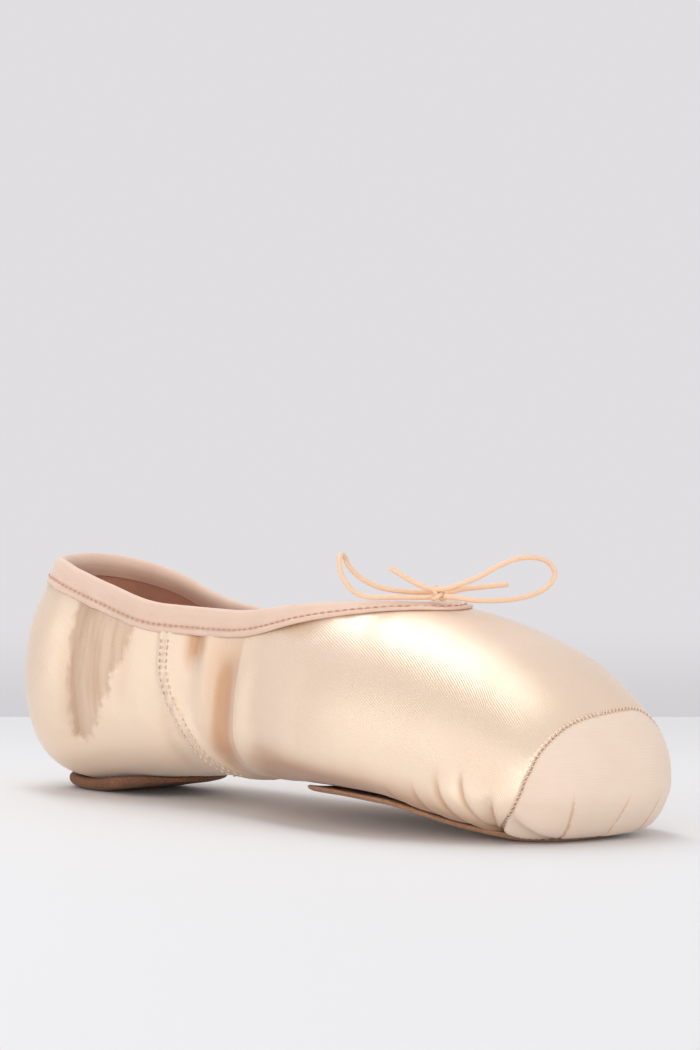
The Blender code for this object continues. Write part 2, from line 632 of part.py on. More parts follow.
def make_strand(name, material):
    """Make one loop or end of the drawstring as a round tube that starts at the knot."""
    middle = knot_middle()
    seat = KNOT_RADIUS + 2 * GAP
    leave, back = STRAND_WAYS[name]
    route = [middle + seat * np.array(leave) / np.linalg.norm(leave)]
    route += [middle + np.array(step) for step in STRANDS[name]]
    if back is not None:
        route.append(middle + seat * np.array(back) / np.linalg.norm(back))
    points = smooth_route(route)
    curve = bpy.data.curves.new(name, "CURVE")
    curve.dimensions = "3D"
    curve.bevel_depth = CORD / 2
    curve.bevel_resolution = 2
    curve.use_fill_caps = True
    spline = curve.splines.new("POLY")
    spline.points.add(len(points) - 1)
    spline.points.foreach_set("co", np.column_stack([points, np.ones(len(points))]).ravel())
    curve.materials.append(material)
    strand = bpy.data.objects.new(name, curve)
    bpy.context.collection.objects.link(strand)
    return strand


def make_knot(material):
    """Make the drawstring's knot as a small ball."""
    mesh = bpy.data.meshes.new("cord_knot")
    build = bmesh.new()
    bmesh.ops.create_uvsphere(build, u_segments=12, v_segments=8, radius=KNOT_RADIUS)
    build.to_mesh(mesh)
    build.free()
    mesh.materials.append(material)
    mesh.shade_smooth()
    knot = bpy.data.objects.new("cord_knot", mesh)
    knot.location = knot_middle()
    bpy.context.collection.objects.link(knot)
    return knot


def make_material(name, colour, roughness):
    """Make a plain finish with no metal in it."""
    material = bpy.data.materials.new(name)
    material.use_nodes = True
    shader = material.node_tree.nodes["Principled BSDF"]
    shader.inputs["Base Color"].default_value = (*colour, 1.0)
    shader.inputs["Roughness"].default_value = roughness
    shader.inputs["Metallic"].default_value = 0.0
    return material


def main():
    for old in list(bpy.data.objects):
        bpy.data.objects.remove(old, do_unlink=True)
    make_upper(make_material("satin", (0.82, 0.65, 0.50), 0.35))
    make_toe_cap(make_material("patch_satin", (0.80, 0.64, 0.52), 0.55))
    make_binding(make_material("tape", (0.82, 0.60, 0.48), 0.60))
    make_insole(make_material("lining_board", (0.70, 0.55, 0.42), 0.80))
    make_sole_forefoot(make_material("sole_leather", (0.45, 0.27, 0.16), 0.65))
    make_sole_heel(make_material("pad_suede", (0.30, 0.16, 0.09), 0.85))
    elastic = make_material("elastic", (0.85, 0.62, 0.45), 0.60)
    make_knot(elastic)
    for name in STRANDS:
        make_strand(name, elastic)


main()
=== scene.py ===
"""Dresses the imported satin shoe: cloth, seams, stitches, soles, drawstring, stage, lights and camera.

Metres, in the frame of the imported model: +X from the heel to the toe, +Z up, the side seen first
faces -Y. Every surface is worked out from the shoe's own form, the same one that its solids have.
A place on the form is a run, -1 to 0 round the heel, 0 to 1 along the foot and 1 to 2 over the toe,
and an angle on its rib, from -90 degrees underneath to 90 degrees on top.
"""

import bmesh
import bpy
import numpy as np
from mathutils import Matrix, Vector


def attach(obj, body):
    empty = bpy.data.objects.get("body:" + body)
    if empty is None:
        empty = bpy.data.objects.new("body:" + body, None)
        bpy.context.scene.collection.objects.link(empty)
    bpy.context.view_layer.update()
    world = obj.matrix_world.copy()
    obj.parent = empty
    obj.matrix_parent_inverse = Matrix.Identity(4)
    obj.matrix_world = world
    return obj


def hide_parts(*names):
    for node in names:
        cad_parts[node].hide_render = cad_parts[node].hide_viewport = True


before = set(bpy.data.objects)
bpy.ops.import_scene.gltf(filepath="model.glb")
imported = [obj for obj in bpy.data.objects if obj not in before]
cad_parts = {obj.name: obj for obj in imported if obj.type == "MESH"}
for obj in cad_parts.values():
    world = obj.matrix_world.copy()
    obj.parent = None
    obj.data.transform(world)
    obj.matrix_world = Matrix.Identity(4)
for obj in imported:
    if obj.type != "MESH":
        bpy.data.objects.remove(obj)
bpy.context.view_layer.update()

bl_info = {
    "name": "Satin toe shoe",
    "version": (1, 0, 0),
    "blender": (4, 5, 0),
    "location": "3D View > Sidebar > Shoe",
    "description": "Cloth, seams, soles and drawstring of a satin toe shoe",
    "category": "Object",
}

NEAR, FAR = -1, 1

# The form's sizes, as in the solids
LENGTH = 0.238
HEEL_REACH = 0.1345 * LENGTH
HEEL_HALF = 0.0284
WAIST_HALF = 0.0268
BALL_HALF = 0.0405
PLATFORM_HALF = 0.0300
BACK_HEIGHT = 0.0655
THROAT_HEIGHT = 0.0577
BOX_HEIGHT = 0.0410
ARCH_RISE = 0.0082
BELLY_HEIGHT = 0.0230
THROAT_AT = 0.700 * LENGTH
CLOSE_AT = 0.898 * LENGTH
POLE_HEIGHT = 0.0160
WALL = 0.0018
BOX_WALL = 0.0030
PLATFORM_WALL = 0.0055
GAP = 0.0003
CAP_THICK = 0.0011
CAP_DEPTH = 0.0085
INSOLE_THICK = 0.0017
INSOLE_SPREAD = 0.74
INSOLE_FRONT = 0.874 * LENGTH
SOLE_THICK = 0.0018
SOLE_HALF = 0.0310
SOLE_REAR = 0.538 * LENGTH
SOLE_FRONT = 0.945 * LENGTH
PAD_HALF = 0.0185
PAD_REAR = 0.037 * LENGTH
PAD_FRONT = 0.269 * LENGTH
PAD_THICK = 0.0022
PAD_LIFT = 0.0042
LAST_MARGIN = 0.0090         # cloth turned in under each sole, all round its opening
LEAST_OPEN = 0.25            # an opening narrower than this share of the heel's is closed
ROUND_END = 0.0110           # length over which a sheet's end is rounded
EDGE_EASE = 0.0008           # how much narrower a sheet is underneath
CLOSE_POWER_WIDE = 2.6
CLOSE_POWER_TALL = 2.2
HEEL_POWER = 2.08
THROAT_POWER = 2.2
THROAT_START = 0.66
BELLY_LOW = np.radians(-30.0)
BELLY_HIGH = np.radians(10.0)
KNOT_RADIUS = 0.0019

# The cloth's own pull at the heel: drawn in under the collar, fuller half way up, dying away forwards
HEEL_DRAW = 0.0034
HEEL_DRAW_FROM = 0.68 * BACK_HEIGHT
HEEL_DRAW_WHOLE = 1.02 * BACK_HEIGHT
HEEL_FULL = 0.0013
HEEL_FULL_AT = 0.50 * BACK_HEIGHT
HEEL_FULL_SPREAD = 0.20 * BACK_HEIGHT
HEEL_PULL_WHOLE = 0.14 * LENGTH
HEEL_PULL_END = 0.34 * LENGTH

# The form's ribs: distance from the heel's back as a share of LENGTH, half width, heights of its
# underside, of its widest part and of its top, and the powers that square its lower and upper halves
SECTION_COLUMNS = ("station", "half", "under", "widest", "top", "low_power", "high_power")
SECTIONS = (
    (0.13, 1.00 * HEEL_HALF, PAD_THICK + GAP, 1.40 * BELLY_HEIGHT, 1.25 * BACK_HEIGHT, 3.0, 2.35),
    (0.25, 0.97 * HEEL_HALF, 0.66 * ARCH_RISE, 1.22 * BELLY_HEIGHT, 1.26 * BACK_HEIGHT, 2.9, 2.35),
    (0.37, 0.99 * WAIST_HALF, 0.92 * ARCH_RISE, 1.12 * BELLY_HEIGHT, 1.16 * BACK_HEIGHT, 2.55, 2.2),
    (0.49, 1.09 * WAIST_HALF, 1.00 * ARCH_RISE, 1.06 * BELLY_HEIGHT, 1.20 * THROAT_HEIGHT, 2.4, 2.05),
    (0.61, 0.91 * BALL_HALF, 1.01 * ARCH_RISE, 0.99 * BELLY_HEIGHT, 1.06 * THROAT_HEIGHT, 2.55, 2.1),
    (0.73, 1.00 * BALL_HALF, 0.94 * ARCH_RISE, 0.94 * BELLY_HEIGHT, 0.995 * THROAT_HEIGHT, 2.8, 2.15),
    (0.85, 0.90 * BALL_HALF, 0.40 * ARCH_RISE, 0.82 * BELLY_HEIGHT, 1.215 * BOX_HEIGHT, 3.0, 2.3),
    (0.93, 1.02 * PLATFORM_HALF, 0.65 * SOLE_THICK, 0.66 * BELLY_HEIGHT, 1.00 * BOX_HEIGHT, 2.6, 2.35),
    (1.00, 0.95 * PLATFORM_HALF, 0.60 * SOLE_THICK, 0.68 * BELLY_HEIGHT, 0.83 * BOX_HEIGHT, 2.6, 2.45),
)

# The collar's edge: height on each side, by distance from the heel's back as a share of THROAT_AT
COLLAR_COLUMNS = ("station", "near", "far")
COLLAR = (
    (0.00, 1.00 * BACK_HEIGHT, 1.00 * BACK_HEIGHT),
    (0.12, 0.985 * BACK_HEIGHT, 0.925 * BACK_HEIGHT),
    (0.29, 0.905 * BACK_HEIGHT, 0.795 * BACK_HEIGHT),
    (0.46, 0.835 * BACK_HEIGHT, 0.760 * BACK_HEIGHT),
    (0.63, 0.94 * THROAT_HEIGHT, 0.895 * THROAT_HEIGHT),
    (0.80, 0.98 * THROAT_HEIGHT, 0.95 * THROAT_HEIGHT),
    (1.00, 1.00 * THROAT_HEIGHT, 1.00 * THROAT_HEIGHT),
)

# The platform patch: its depth back from the toe on each side, by angle
PATCH_COLUMNS = ("angle", "near", "far")
PATCH = (
    (-90.0, 2.55 * CAP_DEPTH, 2.55 * CAP_DEPTH),
    (-49.0, 2.35 * CAP_DEPTH, 2.40 * CAP_DEPTH),
    (-22.0, 1.52 * CAP_DEPTH, 1.75 * CAP_DEPTH),
    (-2.0, 1.16 * CAP_DEPTH, 1.50 * CAP_DEPTH),
    (14.0, 0.95 * CAP_DEPTH, 1.45 * CAP_DEPTH),
    (45.0, 0.86 * CAP_DEPTH, 1.45 * CAP_DEPTH),
    (75.0, 0.93 * CAP_DEPTH, 1.15 * CAP_DEPTH),
    (90.0, 1.00 * CAP_DEPTH, 1.00 * CAP_DEPTH),
)

# The soles: half width by share of the way from the rear end, or for the pad from the heel's axis, and
# the height of the pad's underside by share of PAD_FRONT
SOLE_COLUMNS = ("station", "half")
SOLE = (
    (0.00, 0.70 * SOLE_HALF), (0.20, 0.78 * SOLE_HALF), (0.45, 0.96 * SOLE_HALF),
    (0.68, 1.00 * SOLE_HALF), (0.85, 0.90 * SOLE_HALF), (1.00, 0.72 * SOLE_HALF),
)
PAD = ((0.00, 0.97 * PAD_HALF), (0.50, 1.00 * PAD_HALF), (0.80, 0.90 * PAD_HALF), (1.00, 0.74 * PAD_HALF))
LIFT_COLUMNS = ("station", "height")
LIFT = (
    (0.00, 0.00 * PAD_LIFT), (0.54, 0.00 * PAD_LIFT), (0.65, 0.24 * PAD_LIFT),
    (0.78, 0.52 * PAD_LIFT), (0.91, 0.88 * PAD_LIFT), (1.00, 1.00 * PAD_LIFT),
)

# Side seam: distance from the heel's back at each height, as shares of LENGTH and BACK_HEIGHT
SEAM_COLUMNS = ("height", "along")
SEAM = (
    (0.06, 0.448), (0.14, 0.418), (0.21, 0.403), (0.28, 0.389), (0.37, 0.368),
    (0.47, 0.345), (0.59, 0.334), (0.70, 0.333), (0.90, 0.336),
)

# Soft folds in the satin, each a line on one side from start to end. Along is a share of LENGTH and
# high of BACK_HEIGHT; width and depth are in millimetres, and a negative depth is a trough.
FOLD_COLUMNS = ("side", "along_0", "high_0", "along_1", "high_1", "width", "depth")
FOLDS = (
    (NEAR, 0.165, 0.78, 0.160, 0.26, 5.0, -0.45),
    (NEAR, 0.210, 0.80, 0.205, 0.30, 4.4, 0.35),
    (NEAR, 0.262, 0.80, 0.262, 0.38, 4.8, -0.40),
    (NEAR, 0.285, 0.55, 0.305, 0.12, 4.6, 0.40),
    (NEAR, 0.330, 0.45, 0.350, 0.12, 4.4, -0.35),
    (NEAR, 0.376, 0.88, 0.378, 0.58, 3.8, -0.95),
    (NEAR, 0.408, 0.86, 0.410, 0.34, 4.4, 0.75),
    (NEAR, 0.452, 0.62, 0.436, 0.16, 5.6, -1.15),
    (NEAR, 0.488, 0.60, 0.484, 0.16, 4.4, 0.80),
    (NEAR, 0.510, 0.84, 0.610, 0.78, 3.8, -0.55),
    (NEAR, 0.530, 0.90, 0.620, 0.88, 3.6, 0.45),
    (NEAR, 0.540, 0.22, 0.760, 0.15, 5.0, -0.55),
    (FAR, 0.175, 0.74, 0.170, 0.28, 5.0, -0.45),
    (FAR, 0.235, 0.70, 0.230, 0.30, 4.6, 0.35),
    (FAR, 0.384, 0.68, 0.390, 0.42, 4.4, -0.90),
    (FAR, 0.428, 0.66, 0.436, 0.26, 4.6, 0.70),
    (FAR, 0.474, 0.58, 0.470, 0.16, 5.8, -1.05),
    (FAR, 0.520, 0.58, 0.522, 0.16, 4.6, 0.70),
    (FAR, 0.550, 0.78, 0.640, 0.72, 4.6, -0.50),
    (FAR, 0.560, 0.22, 0.760, 0.15, 5.0, -0.50),
)

# Tucks where the satin is drawn in over the edge of the forefoot sole: distance from the heel's back
# as a share of LENGTH, upper and lower heights of the tuck as shares of BACK_HEIGHT, slant as a share
# of LENGTH, depth in millimetres
TUCK_COLUMNS = ("side", "along", "high", "low", "slant", "depth")
TUCKS = (
    (NEAR, 0.864, 0.270, 0.085, 0.012, 1.15),
    (NEAR, 0.893, 0.275, 0.075, 0.014, 1.60),
    (NEAR, 0.928, 0.190, 0.055, -0.014, 1.45),
    (NEAR, 0.790, 0.200, 0.110, 0.008, 0.45),
    (NEAR, 0.830, 0.225, 0.095, 0.008, 0.60),
    (FAR, 0.780, 0.200, 0.110, 0.008, 0.50),
    (FAR, 0.820, 0.225, 0.095, 0.008, 0.90),
    (FAR, 0.858, 0.260, 0.080, 0.012, 1.30),
    (FAR, 0.893, 0.255, 0.075, 0.012, 1.40),
    (FAR, 0.926, 0.180, 0.055, -0.012, 1.20),
)

# Pleats of the platform patch, from where they start on its face down to its edge underneath: breadth
# from the middle as a share of PLATFORM_HALF, height as a share of BOX_HEIGHT, depth in millimetres
PLEAT_COLUMNS = ("broad_0", "high_0", "broad_1", "high_1", "depth")
PLEATS = (
    (-0.50, 0.42, -0.36, 0.04, 0.55),
    (0.12, 0.40, 0.06, 0.04, 0.45),
    (0.58, 0.40, 0.44, 0.04, 0.50),
    (-0.98, 0.26, -0.80, 0.06, 0.40),
    (0.98, 0.28, 0.82, 0.06, 0.45),
)

# The drawstring's two strands, as steps from the knot's middle. Each runs out of the knot, round its
# loop, back through the knot and on to its free end.
KNOT_PLACE = (0.0024, -0.0032, 0.0035)
STRANDS = {
    "drawstring_near": (
        (-0.0024, 0.0007, 0.0001), (-0.0050, -0.0003, 0.0002), (-0.0098, -0.0036, 0.0003),
        (-0.0152, -0.0074, 0.0012), (-0.0191, -0.0108, 0.0036), (-0.0210, -0.0136, 0.0068),
        (-0.0209, -0.0151, 0.0092), (-0.0198, -0.0172, 0.0103), (-0.0184, -0.0192, 0.0092),
        (-0.0176, -0.0197, 0.0066), (-0.0166, -0.0186, 0.0030), (-0.0150, -0.0164, 0.0002),
        (-0.0127, -0.0136, -0.0010), (-0.0096, -0.0098, -0.0010),
        (-0.0050, -0.0050, -0.0010), (-0.0014, -0.0014, -0.0009), (0.0004, 0.0022, -0.0003),
        (0.0012, 0.0066, 0.0009), (0.0028, 0.0122, 0.0014), (0.0052, 0.0204, 0.0020),
    ),
    "drawstring_far": (
        (0.0024, -0.0005, -0.0006), (0.0056, 0.0010, -0.0008), (0.0086, 0.0052, -0.0016),
        (0.0106, 0.0115, -0.0018), (0.0116, 0.0182, -0.0014), (0.0120, 0.0245, -0.0002),
        (0.0120, 0.0292, 0.0020), (0.0117, 0.0312, 0.0050), (0.0111, 0.0293, 0.0079),
        (0.0102, 0.0250, 0.0093), (0.0091, 0.0196, 0.0090), (0.0078, 0.0144, 0.0072),
        (0.0062, 0.0094, 0.0046), (0.0040, 0.0046, 0.0026), (0.0012, 0.0008, 0.0012),
        (-0.0022, -0.0018, 0.0014), (-0.0060, -0.0046, 0.0034), (-0.0105, -0.0084, 0.0069),
    ),
}

# Painted marks on the side seen first, as pairs between which each comes in or dies away. Along is from
# the heel's back and high is above the floor. The painted dark reflection at the heel leans forward, and
# its first streak is stronger. Painted shade darkens the troughs of the waist's folds.
REFLECTION_REAR = (0.0370, 0.0405)
REFLECTION_FRONT = (0.0365, 0.0400)
REFLECTION_LEAN = 0.57
REFLECTION_LOW = (0.0150, 0.0180)
REFLECTION_FIRST = (0.0430, 0.0470)
# Painted shade in the troughs of the waist's folds: a broad band, and a higher patch further back
WAIST_SHADE_REAR = (0.0960, 0.1090)
WAIST_SHADE_LEAN = 0.10
WAIST_SHADE_FRONT = (0.1140, 0.1129)
WAIST_SHADE_LOW = (0.010, 0.018)
WAIST_SHADE_HIGH = (0.055, 0.040)
FOLD_TROUGH_REAR = (0.0865, 0.0910)
FOLD_TROUGH_FRONT = (0.0990, 0.0945)
FOLD_TROUGH_LOW = (0.038, 0.047)
MARK_SIDE = (0.002, -0.002)  # across the shoe's middle

MILLIMETRE = 0.001
SMALL = 1e-4                 # step over which a slope is measured
MERGE = 3e-6                 # points closer than this are one point
TOUCHING = 1e-6              # angles and widths closer than this are equal
HAIR = 1e-7                  # lengths and gaps less than this are none

# The satin's thickness, and the lining behind it
SATIN_CLOTH = 0.0009
LINING_GAP = 0.0002
DEEPEST = 0.00082            # the satin's troughs stay outside its lining
PRESSED = 0.30               # what is left of a ridge in the satin under the tape, as a share
PRESSED_OVER = (-0.0022, 0.0012)     # from the tape's lower edge: pressed above, free below

# A fold fades in and out over these shares of its length
FOLD_IN = (-0.25, 0.3)
FOLD_OUT = (0.7, 1.25)

# A tuck dies away in front of its crease. It fades out over shares of its lower and upper heights.
TUCK_DIES = 0.0052
TUCK_RISE = (-0.0004, 0.0006)
TUCK_CREASE_DEPTH = 1.1
TUCK_CREASE_BEHIND = 0.0004
TUCK_CREASE_WIDTH = 0.0015
TUCK_LOW_END = (-1.0, 0.3)
TUCK_HIGH_END = (0.62, 1.12)

# The side seam's fold: half widths of its top and its foot, the cut along its middle, and how far from
# the shoe's middle it has flattened
SEAM_FOLD = (0.0014, 0.0036)
SEAM_CUT_DEPTH = 0.8
SEAM_CUT_WIDTH = 0.0004
SEAM_FLAT = (0.002, 0.006)

# Height below which the satin turns under and takes painted shade, as shares of LENGTH and BACK_HEIGHT
UNDER_COLUMNS = ("along", "height")
UNDER = (
    (0.00, -0.10), (0.36, 0.00), (0.47, 0.16), (0.54, 0.31),
    (0.66, 0.26), (0.80, 0.21), (0.90, 0.10), (1.00, 0.04),
)
UNDER_FADE = (-0.0050, 0.0085)

# The platform patch: how a pleat runs out over its face and dies away beside its crease, the dip along
# the patch's edge, and how the patch hangs beside the sole
PLEAT_IN = (0.05, 0.6)
PLEAT_DIES = 0.004
PLEAT_RISE = 0.0003
PLEAT_HEIGHT = 0.8
PLEAT_CREASE_BEHIND = 0.0002
PLEAT_CREASE_WIDTH = 0.00055
PATCH_EDGE_FADE = (-0.02, 0.04)
PATCH_EDGE_DIP = 0.0003
PATCH_EDGE_DIP_WIDTH = 0.012
LAP_HEIGHT = 0.0004
LAP_SHARE = 0.86
LAP_BESIDE = (-0.0010, 0.0030)
LAP_SPREAD = 0.0060
LAP_ALONG = (0.90 * LENGTH, 0.935 * LENGTH)
LAP_BELOW = (0.0010, 0.0110)

# The collar tape: clearance, thickness, how much it swells at its roll, its groove along the stitches,
# its rolled lower edge and the puckers between the stitches
TAPE_GAP = 0.00015
TAPE_THICK = 0.00065
TAPE_SWELL_OUT = 0.00045
TAPE_SWELL_IN = 0.00035
TAPE_HEM_OUT, TAPE_HEM_IN = 0.00025, 0.0002     # how far its rounded hems reach below its sizes
TAPE_HEM_BACK = 0.0004
TAPE_STITCHES = 0.0016       # from the tape's lower edge up to its stitches
TAPE_GROOVE = 0.00030
TAPE_GROOVE_WIDTH = 0.00042
TAPE_EDGE = 0.0006
TAPE_EDGE_ROLL = 0.00030
TAPE_EDGE_WIDTH = 0.0005
TAPE_PUCKER = 0.00009
TAPE_PUCKER_DEPTH = (0.0028, 0.0052)
TAPE_SHIFT = 0.00008
TAPE_SHIFT_DEPTH = (0.004, 0.0074)
TAPE_WAVES = ((1.0, 0.0094, 0.0), (0.6, 0.0061, 1.3), (0.5, 0.0233, 0.4))     # height, length, start
TAPE_WAVE_FADE = 0.008

# Stitches. Their places round the form are in degrees on its ribs.
ON_CLOTH = 0.00002           # a stitch's middle over the cloth
ARCH = 0.45                  # how far a stitch arches out, as a share of its thickness
SEAM_ANGLES = (34.0, -63.0)
SEAM_BELOW_COLLAR = 9.8      # degrees of each rib that the tape covers
SEAM_ROWS = (-0.0014, 0.0014)
SEAM_THREAD = 0.00044
SEAM_PITCH = 0.8             # share of the collar's pitch
SEAM_STITCH = 0.62           # share of the seam's pitch
WHIP_ANGLE = -62.0
WHIP_PITCH = 0.00145
WHIP_LEAN = 0.0006
WHIP_IN, WHIP_OUT = 0.0007, 0.0006
WHIP_THREAD = 0.00034
WHIP_LIFT = 0.00005

# Lengths of one turn of the drawstring's braid and of the thread's two plies
BRAID_PITCH = 0.0011
PLY_PITCH = 0.0004

# Soles
SOLE_STAND_OFF = 0.00015     # shadow gap between the satin and the leather, behind the platform
SOLE_WORN = 0.0056           # how much narrower the leather is towards its front
SOLE_WORN_OVER = (0.78 * SOLE_FRONT, 0.92 * SOLE_FRONT)
SOLE_CLOSE = 0.90 * SOLE_FRONT
FLOOR_CLEAR = 0.00005
PAD_EASE = 0.0012
SOLE_BLUNT, PAD_BLUNT = 14, 6     # power of the curve that rounds a sheet's edge

# The drawstring
CORD_STEP = 0.0004           # between the rings of a strand
CORD_END = 0.35              # length of a strand's rounded end, as a share of its thickness
KNOT_SPREAD = 0.22           # how far the knot's lobes reach past KNOT_RADIUS, as a share of the cord
KNOT_CORD = 0.44             # half the thickness of the cord in the knot, as a share of the cord
KNOT_DEEP = 1.15             # depth of its lobes, where their reach is 3
KNOT_LEAN = ((0.80, 0.36, -0.48), (0.0, 0.80, 0.60), (0.60, -0.48, 0.64))

# Counts of rows and columns in each piece
SATIN_COUNTS = (34, 66, 40, 100)
SATIN_STEPS = (26, 14, 44)
SATIN_BOX = 23
SATIN_TUCK_IN = (0.12, 5)    # how far the satin goes in under the patch, as a share of the way, and its rows
LINING_COUNTS = (20, 34, 24, 24)
LINING_STEPS = (14, 8, 22)
LINING_BOX, LINING_TOE = 7, 16
PATCH_ROWS = 72
PATCH_STEPS = (44, 22, 40)
COLLAR_COUNTS = (70, 110, 60)
TAPE_ROWS = (26, 21, 14)     # down the outside, over the roll, down the inside
STITCH_RINGS, STITCH_SIDES = 7, 6
SHEET_COLUMNS = 34
SOLE_ROWS = 110
PAD_ROWS = (40, 50)
INSOLE_ROWS = (24, 90)
CORD_SIDES, KNOT_SIDES, KNOT_ROWS = 16, 12, 160

# Camera, stage and lights
CAMERA_TARGET = (0.0092, 0.0, 0.0788)
CAMERA_AZIMUTH = 50.15
CAMERA_ELEVATION = 2.60
CAMERA_DISTANCE = 1.534
CAMERA_LENS = 192.7
FLOOR_BEHIND = 0.3296       # from under the camera's target to the floor's straight rear edge
FLOOR_HALF, FLOOR_BEFORE = 3.0, 4.0
# The floor's darkening towards its rear edge is painted shade
FAR_FLOOR = 0.86            # the floor's colour at its rear edge, as a share of its colour in front
FAR_FLOOR_TO = -0.06        # how far behind the target the floor has its own colour again
SURROUND = 0.94             # the surround's light on the shoe, as a share of what the camera sees of it
# The backdrop's darker band at the horizon is painted shade
HORIZON = (-0.080, -0.061)  # ways up or down, as the camera looks, between which the backdrop darkens
HORIZON_SHADE = 0.86

# Softboxes: place by steps right of, in front of and above the shoe as the camera sees it, size, power
LIGHT_COLUMNS = ("name", "right", "front", "above", "wide", "tall", "power")
LIGHTS = (
    ("overhead", -0.20, -0.58, 1.24, 0.34, 1.9, 8.5),
    ("left_side", -1.50, 0.45, 0.20, 2.4, 1.3, 7.2),
    ("low_front", -0.20, 1.90, 0.20, 1.8, 0.7, 11.5),
    ("right_front", 1.35, 1.10, 0.50, 1.0, 0.9, 4.5),
)
LIGHTS_AIM = (0.0, 0.0, 0.03)


# Sizes and colours that a user may change

def size(name, text, default):
    """A length that a user may change, in metres."""
    return bpy.props.FloatProperty(name=name, description=text, default=default, unit="LENGTH",
                                   subtype="DISTANCE", precision=5)


def paint(name, text, default):
    """A colour that a user may change."""
    return bpy.props.FloatVectorProperty(name=name, description=text, default=default, size=3,
                                         min=0.0, max=1.0, subtype="COLOR")


class ShoeSizes(bpy.types.PropertyGroup):
    """Sizes of the shoe's finish."""
    cord: size("Drawstring", "Thickness of the drawstring", 0.0014)
    stitch: size("Stitch", "Length of one stitch", 0.0016)
    stitch_pitch: size("Stitch pitch", "From one stitch to the next", 0.0023)
    thread: size("Thread", "Thickness of the sewing thread", 0.00042)
    tape_depth: size("Tape depth", "How far the collar tape reaches down outside", 0.0065)
    tape_inside: size("Tape inside", "How far the collar tape reaches down inside", 0.0042)
    tape_roll: size("Tape roll", "Half the height of the roll at the tape's top", 0.0015)
    seam_raise: size("Seam raise", "How far the side seam's fold stands up", 0.0009)
    twill: size("Satin rib", "Width of one rib of the satin's weave", 0.00072)


class ShoeColours(bpy.types.PropertyGroup):
    """Colours of the shoe's materials."""
    satin: paint("Satin", "Upper's satin", (0.865, 0.685, 0.525))
    # Satin shade colours the painted shade in creases, under the shoe and in the waist's folds, and the
    # weave's darker ribs and random tone
    satin_dark: paint("Satin shade", "Satin where its weave turns away", (0.62, 0.345, 0.185))
    # Colour of the painted dark reflection at the heel, in streaks
    satin_dark_reflection: paint("Rubbed satin", "Satin rubbed dull at the heel", (0.55, 0.36, 0.235))
    patch: paint("Patch", "Duller satin over the platform", (0.79, 0.635, 0.51))
    tape: paint("Tape", "Collar tape", (0.78, 0.56, 0.435))
    thread: paint("Thread", "Sewing thread on the satin and the patch", (0.93, 0.74, 0.60))
    tape_thread: paint("Tape thread", "Sewing thread on the tape", (0.66, 0.36, 0.24))
    lining: paint("Lining", "Cotton lining", (0.62, 0.33, 0.215))
    leather: paint("Leather", "Forefoot sole", (0.60, 0.33, 0.185))
    suede: paint("Suede", "Heel pad", (0.31, 0.14, 0.07))
    elastic: paint("Drawstring", "Braided elastic", (0.90, 0.62, 0.42))
    floor: paint("Floor", "Stage floor", (0.79, 0.795, 0.80))
    wall: paint("Backdrop", "Light grey behind the floor", (0.75, 0.735, 0.75))


def sizes():
    """The scene's sizes."""
    return bpy.context.scene.shoe_sizes


def colours():
    """The scene's colours."""
    return bpy.context.scene.shoe_colours


# The form

def table(columns, rows):
    """Name each column of a table."""
    return dict(zip(columns, np.array(rows, float).T))


def smooth(stations, values, at):
    """Read a cubic curve through a table's points, its slopes the harmonic means of their neighbours'."""
    at = np.clip(np.asarray(at, float), stations[0], stations[-1])
    step = np.diff(stations)
    rise = np.diff(values) / step
    slope = np.concatenate([rise[:1], rise[1:], rise[-1:]])
    before, after = rise[:-1], rise[1:]
    same_way = before * after > 0
    ahead = step[:-1] + 2.0 * step[1:]
    behind = 2.0 * step[:-1] + step[1:]
    safe_before = np.where(same_way, before, 1.0)
    safe_after = np.where(same_way, after, 1.0)
    slope[1:-1] = np.where(same_way, (ahead + behind) / (behind / safe_before + ahead / safe_after), 0.0)
    k = np.clip(np.searchsorted(stations, at, side="right") - 1, 0, len(step) - 1)
    t = (at - stations[k]) / step[k]
    start = (1 + 2 * t) * (1 - t) ** 2 * values[k] + t * (1 - t) ** 2 * step[k] * slope[k]
    end = t * t * (3 - 2 * t) * values[k + 1] + t * t * (t - 1) * step[k] * slope[k + 1]
    return start + end


SECTION = table(SECTION_COLUMNS, SECTIONS)
COLLAR_EDGE = table(COLLAR_COLUMNS, COLLAR)
PATCH_EDGE = table(PATCH_COLUMNS, PATCH)
SOLE_EDGE = table(SOLE_COLUMNS, SOLE)
PAD_EDGE = table(SOLE_COLUMNS, PAD)
LIFT_EDGE = table(LIFT_COLUMNS, LIFT)
SEAM_LINE = table(SEAM_COLUMNS, SEAM)
UNDER_EDGE = table(UNDER_COLUMNS, UNDER)


def bell(distance, width):
    """A smooth hump of height 1 that dies away over a width."""
    return np.exp(-(distance / width) ** 2)


def ramp(value, low, high):
    """Go smoothly from 0 at low to 1 at high."""
    t = np.clip((value - low) / (high - low), 0.0, 1.0)
    return t * t * (3.0 - 2.0 * t)


def fade(value, low, high):
    """Go smoothly from 1 at low to 0 at high."""
    return ramp(-value, -high, -low)


def run_at(x):
    """Give the run of a distance from the heel's back, in front of the heel's axis."""
    x = np.asarray(x, float)
    along = (x - HEEL_REACH) / (CLOSE_AT - HEEL_REACH)
    over = np.arcsin(np.clip((x - CLOSE_AT) / (LENGTH - CLOSE_AT), 0.0, 1.0)) / (np.pi / 2)
    return np.where(x > CLOSE_AT, 1.0 + over, along)


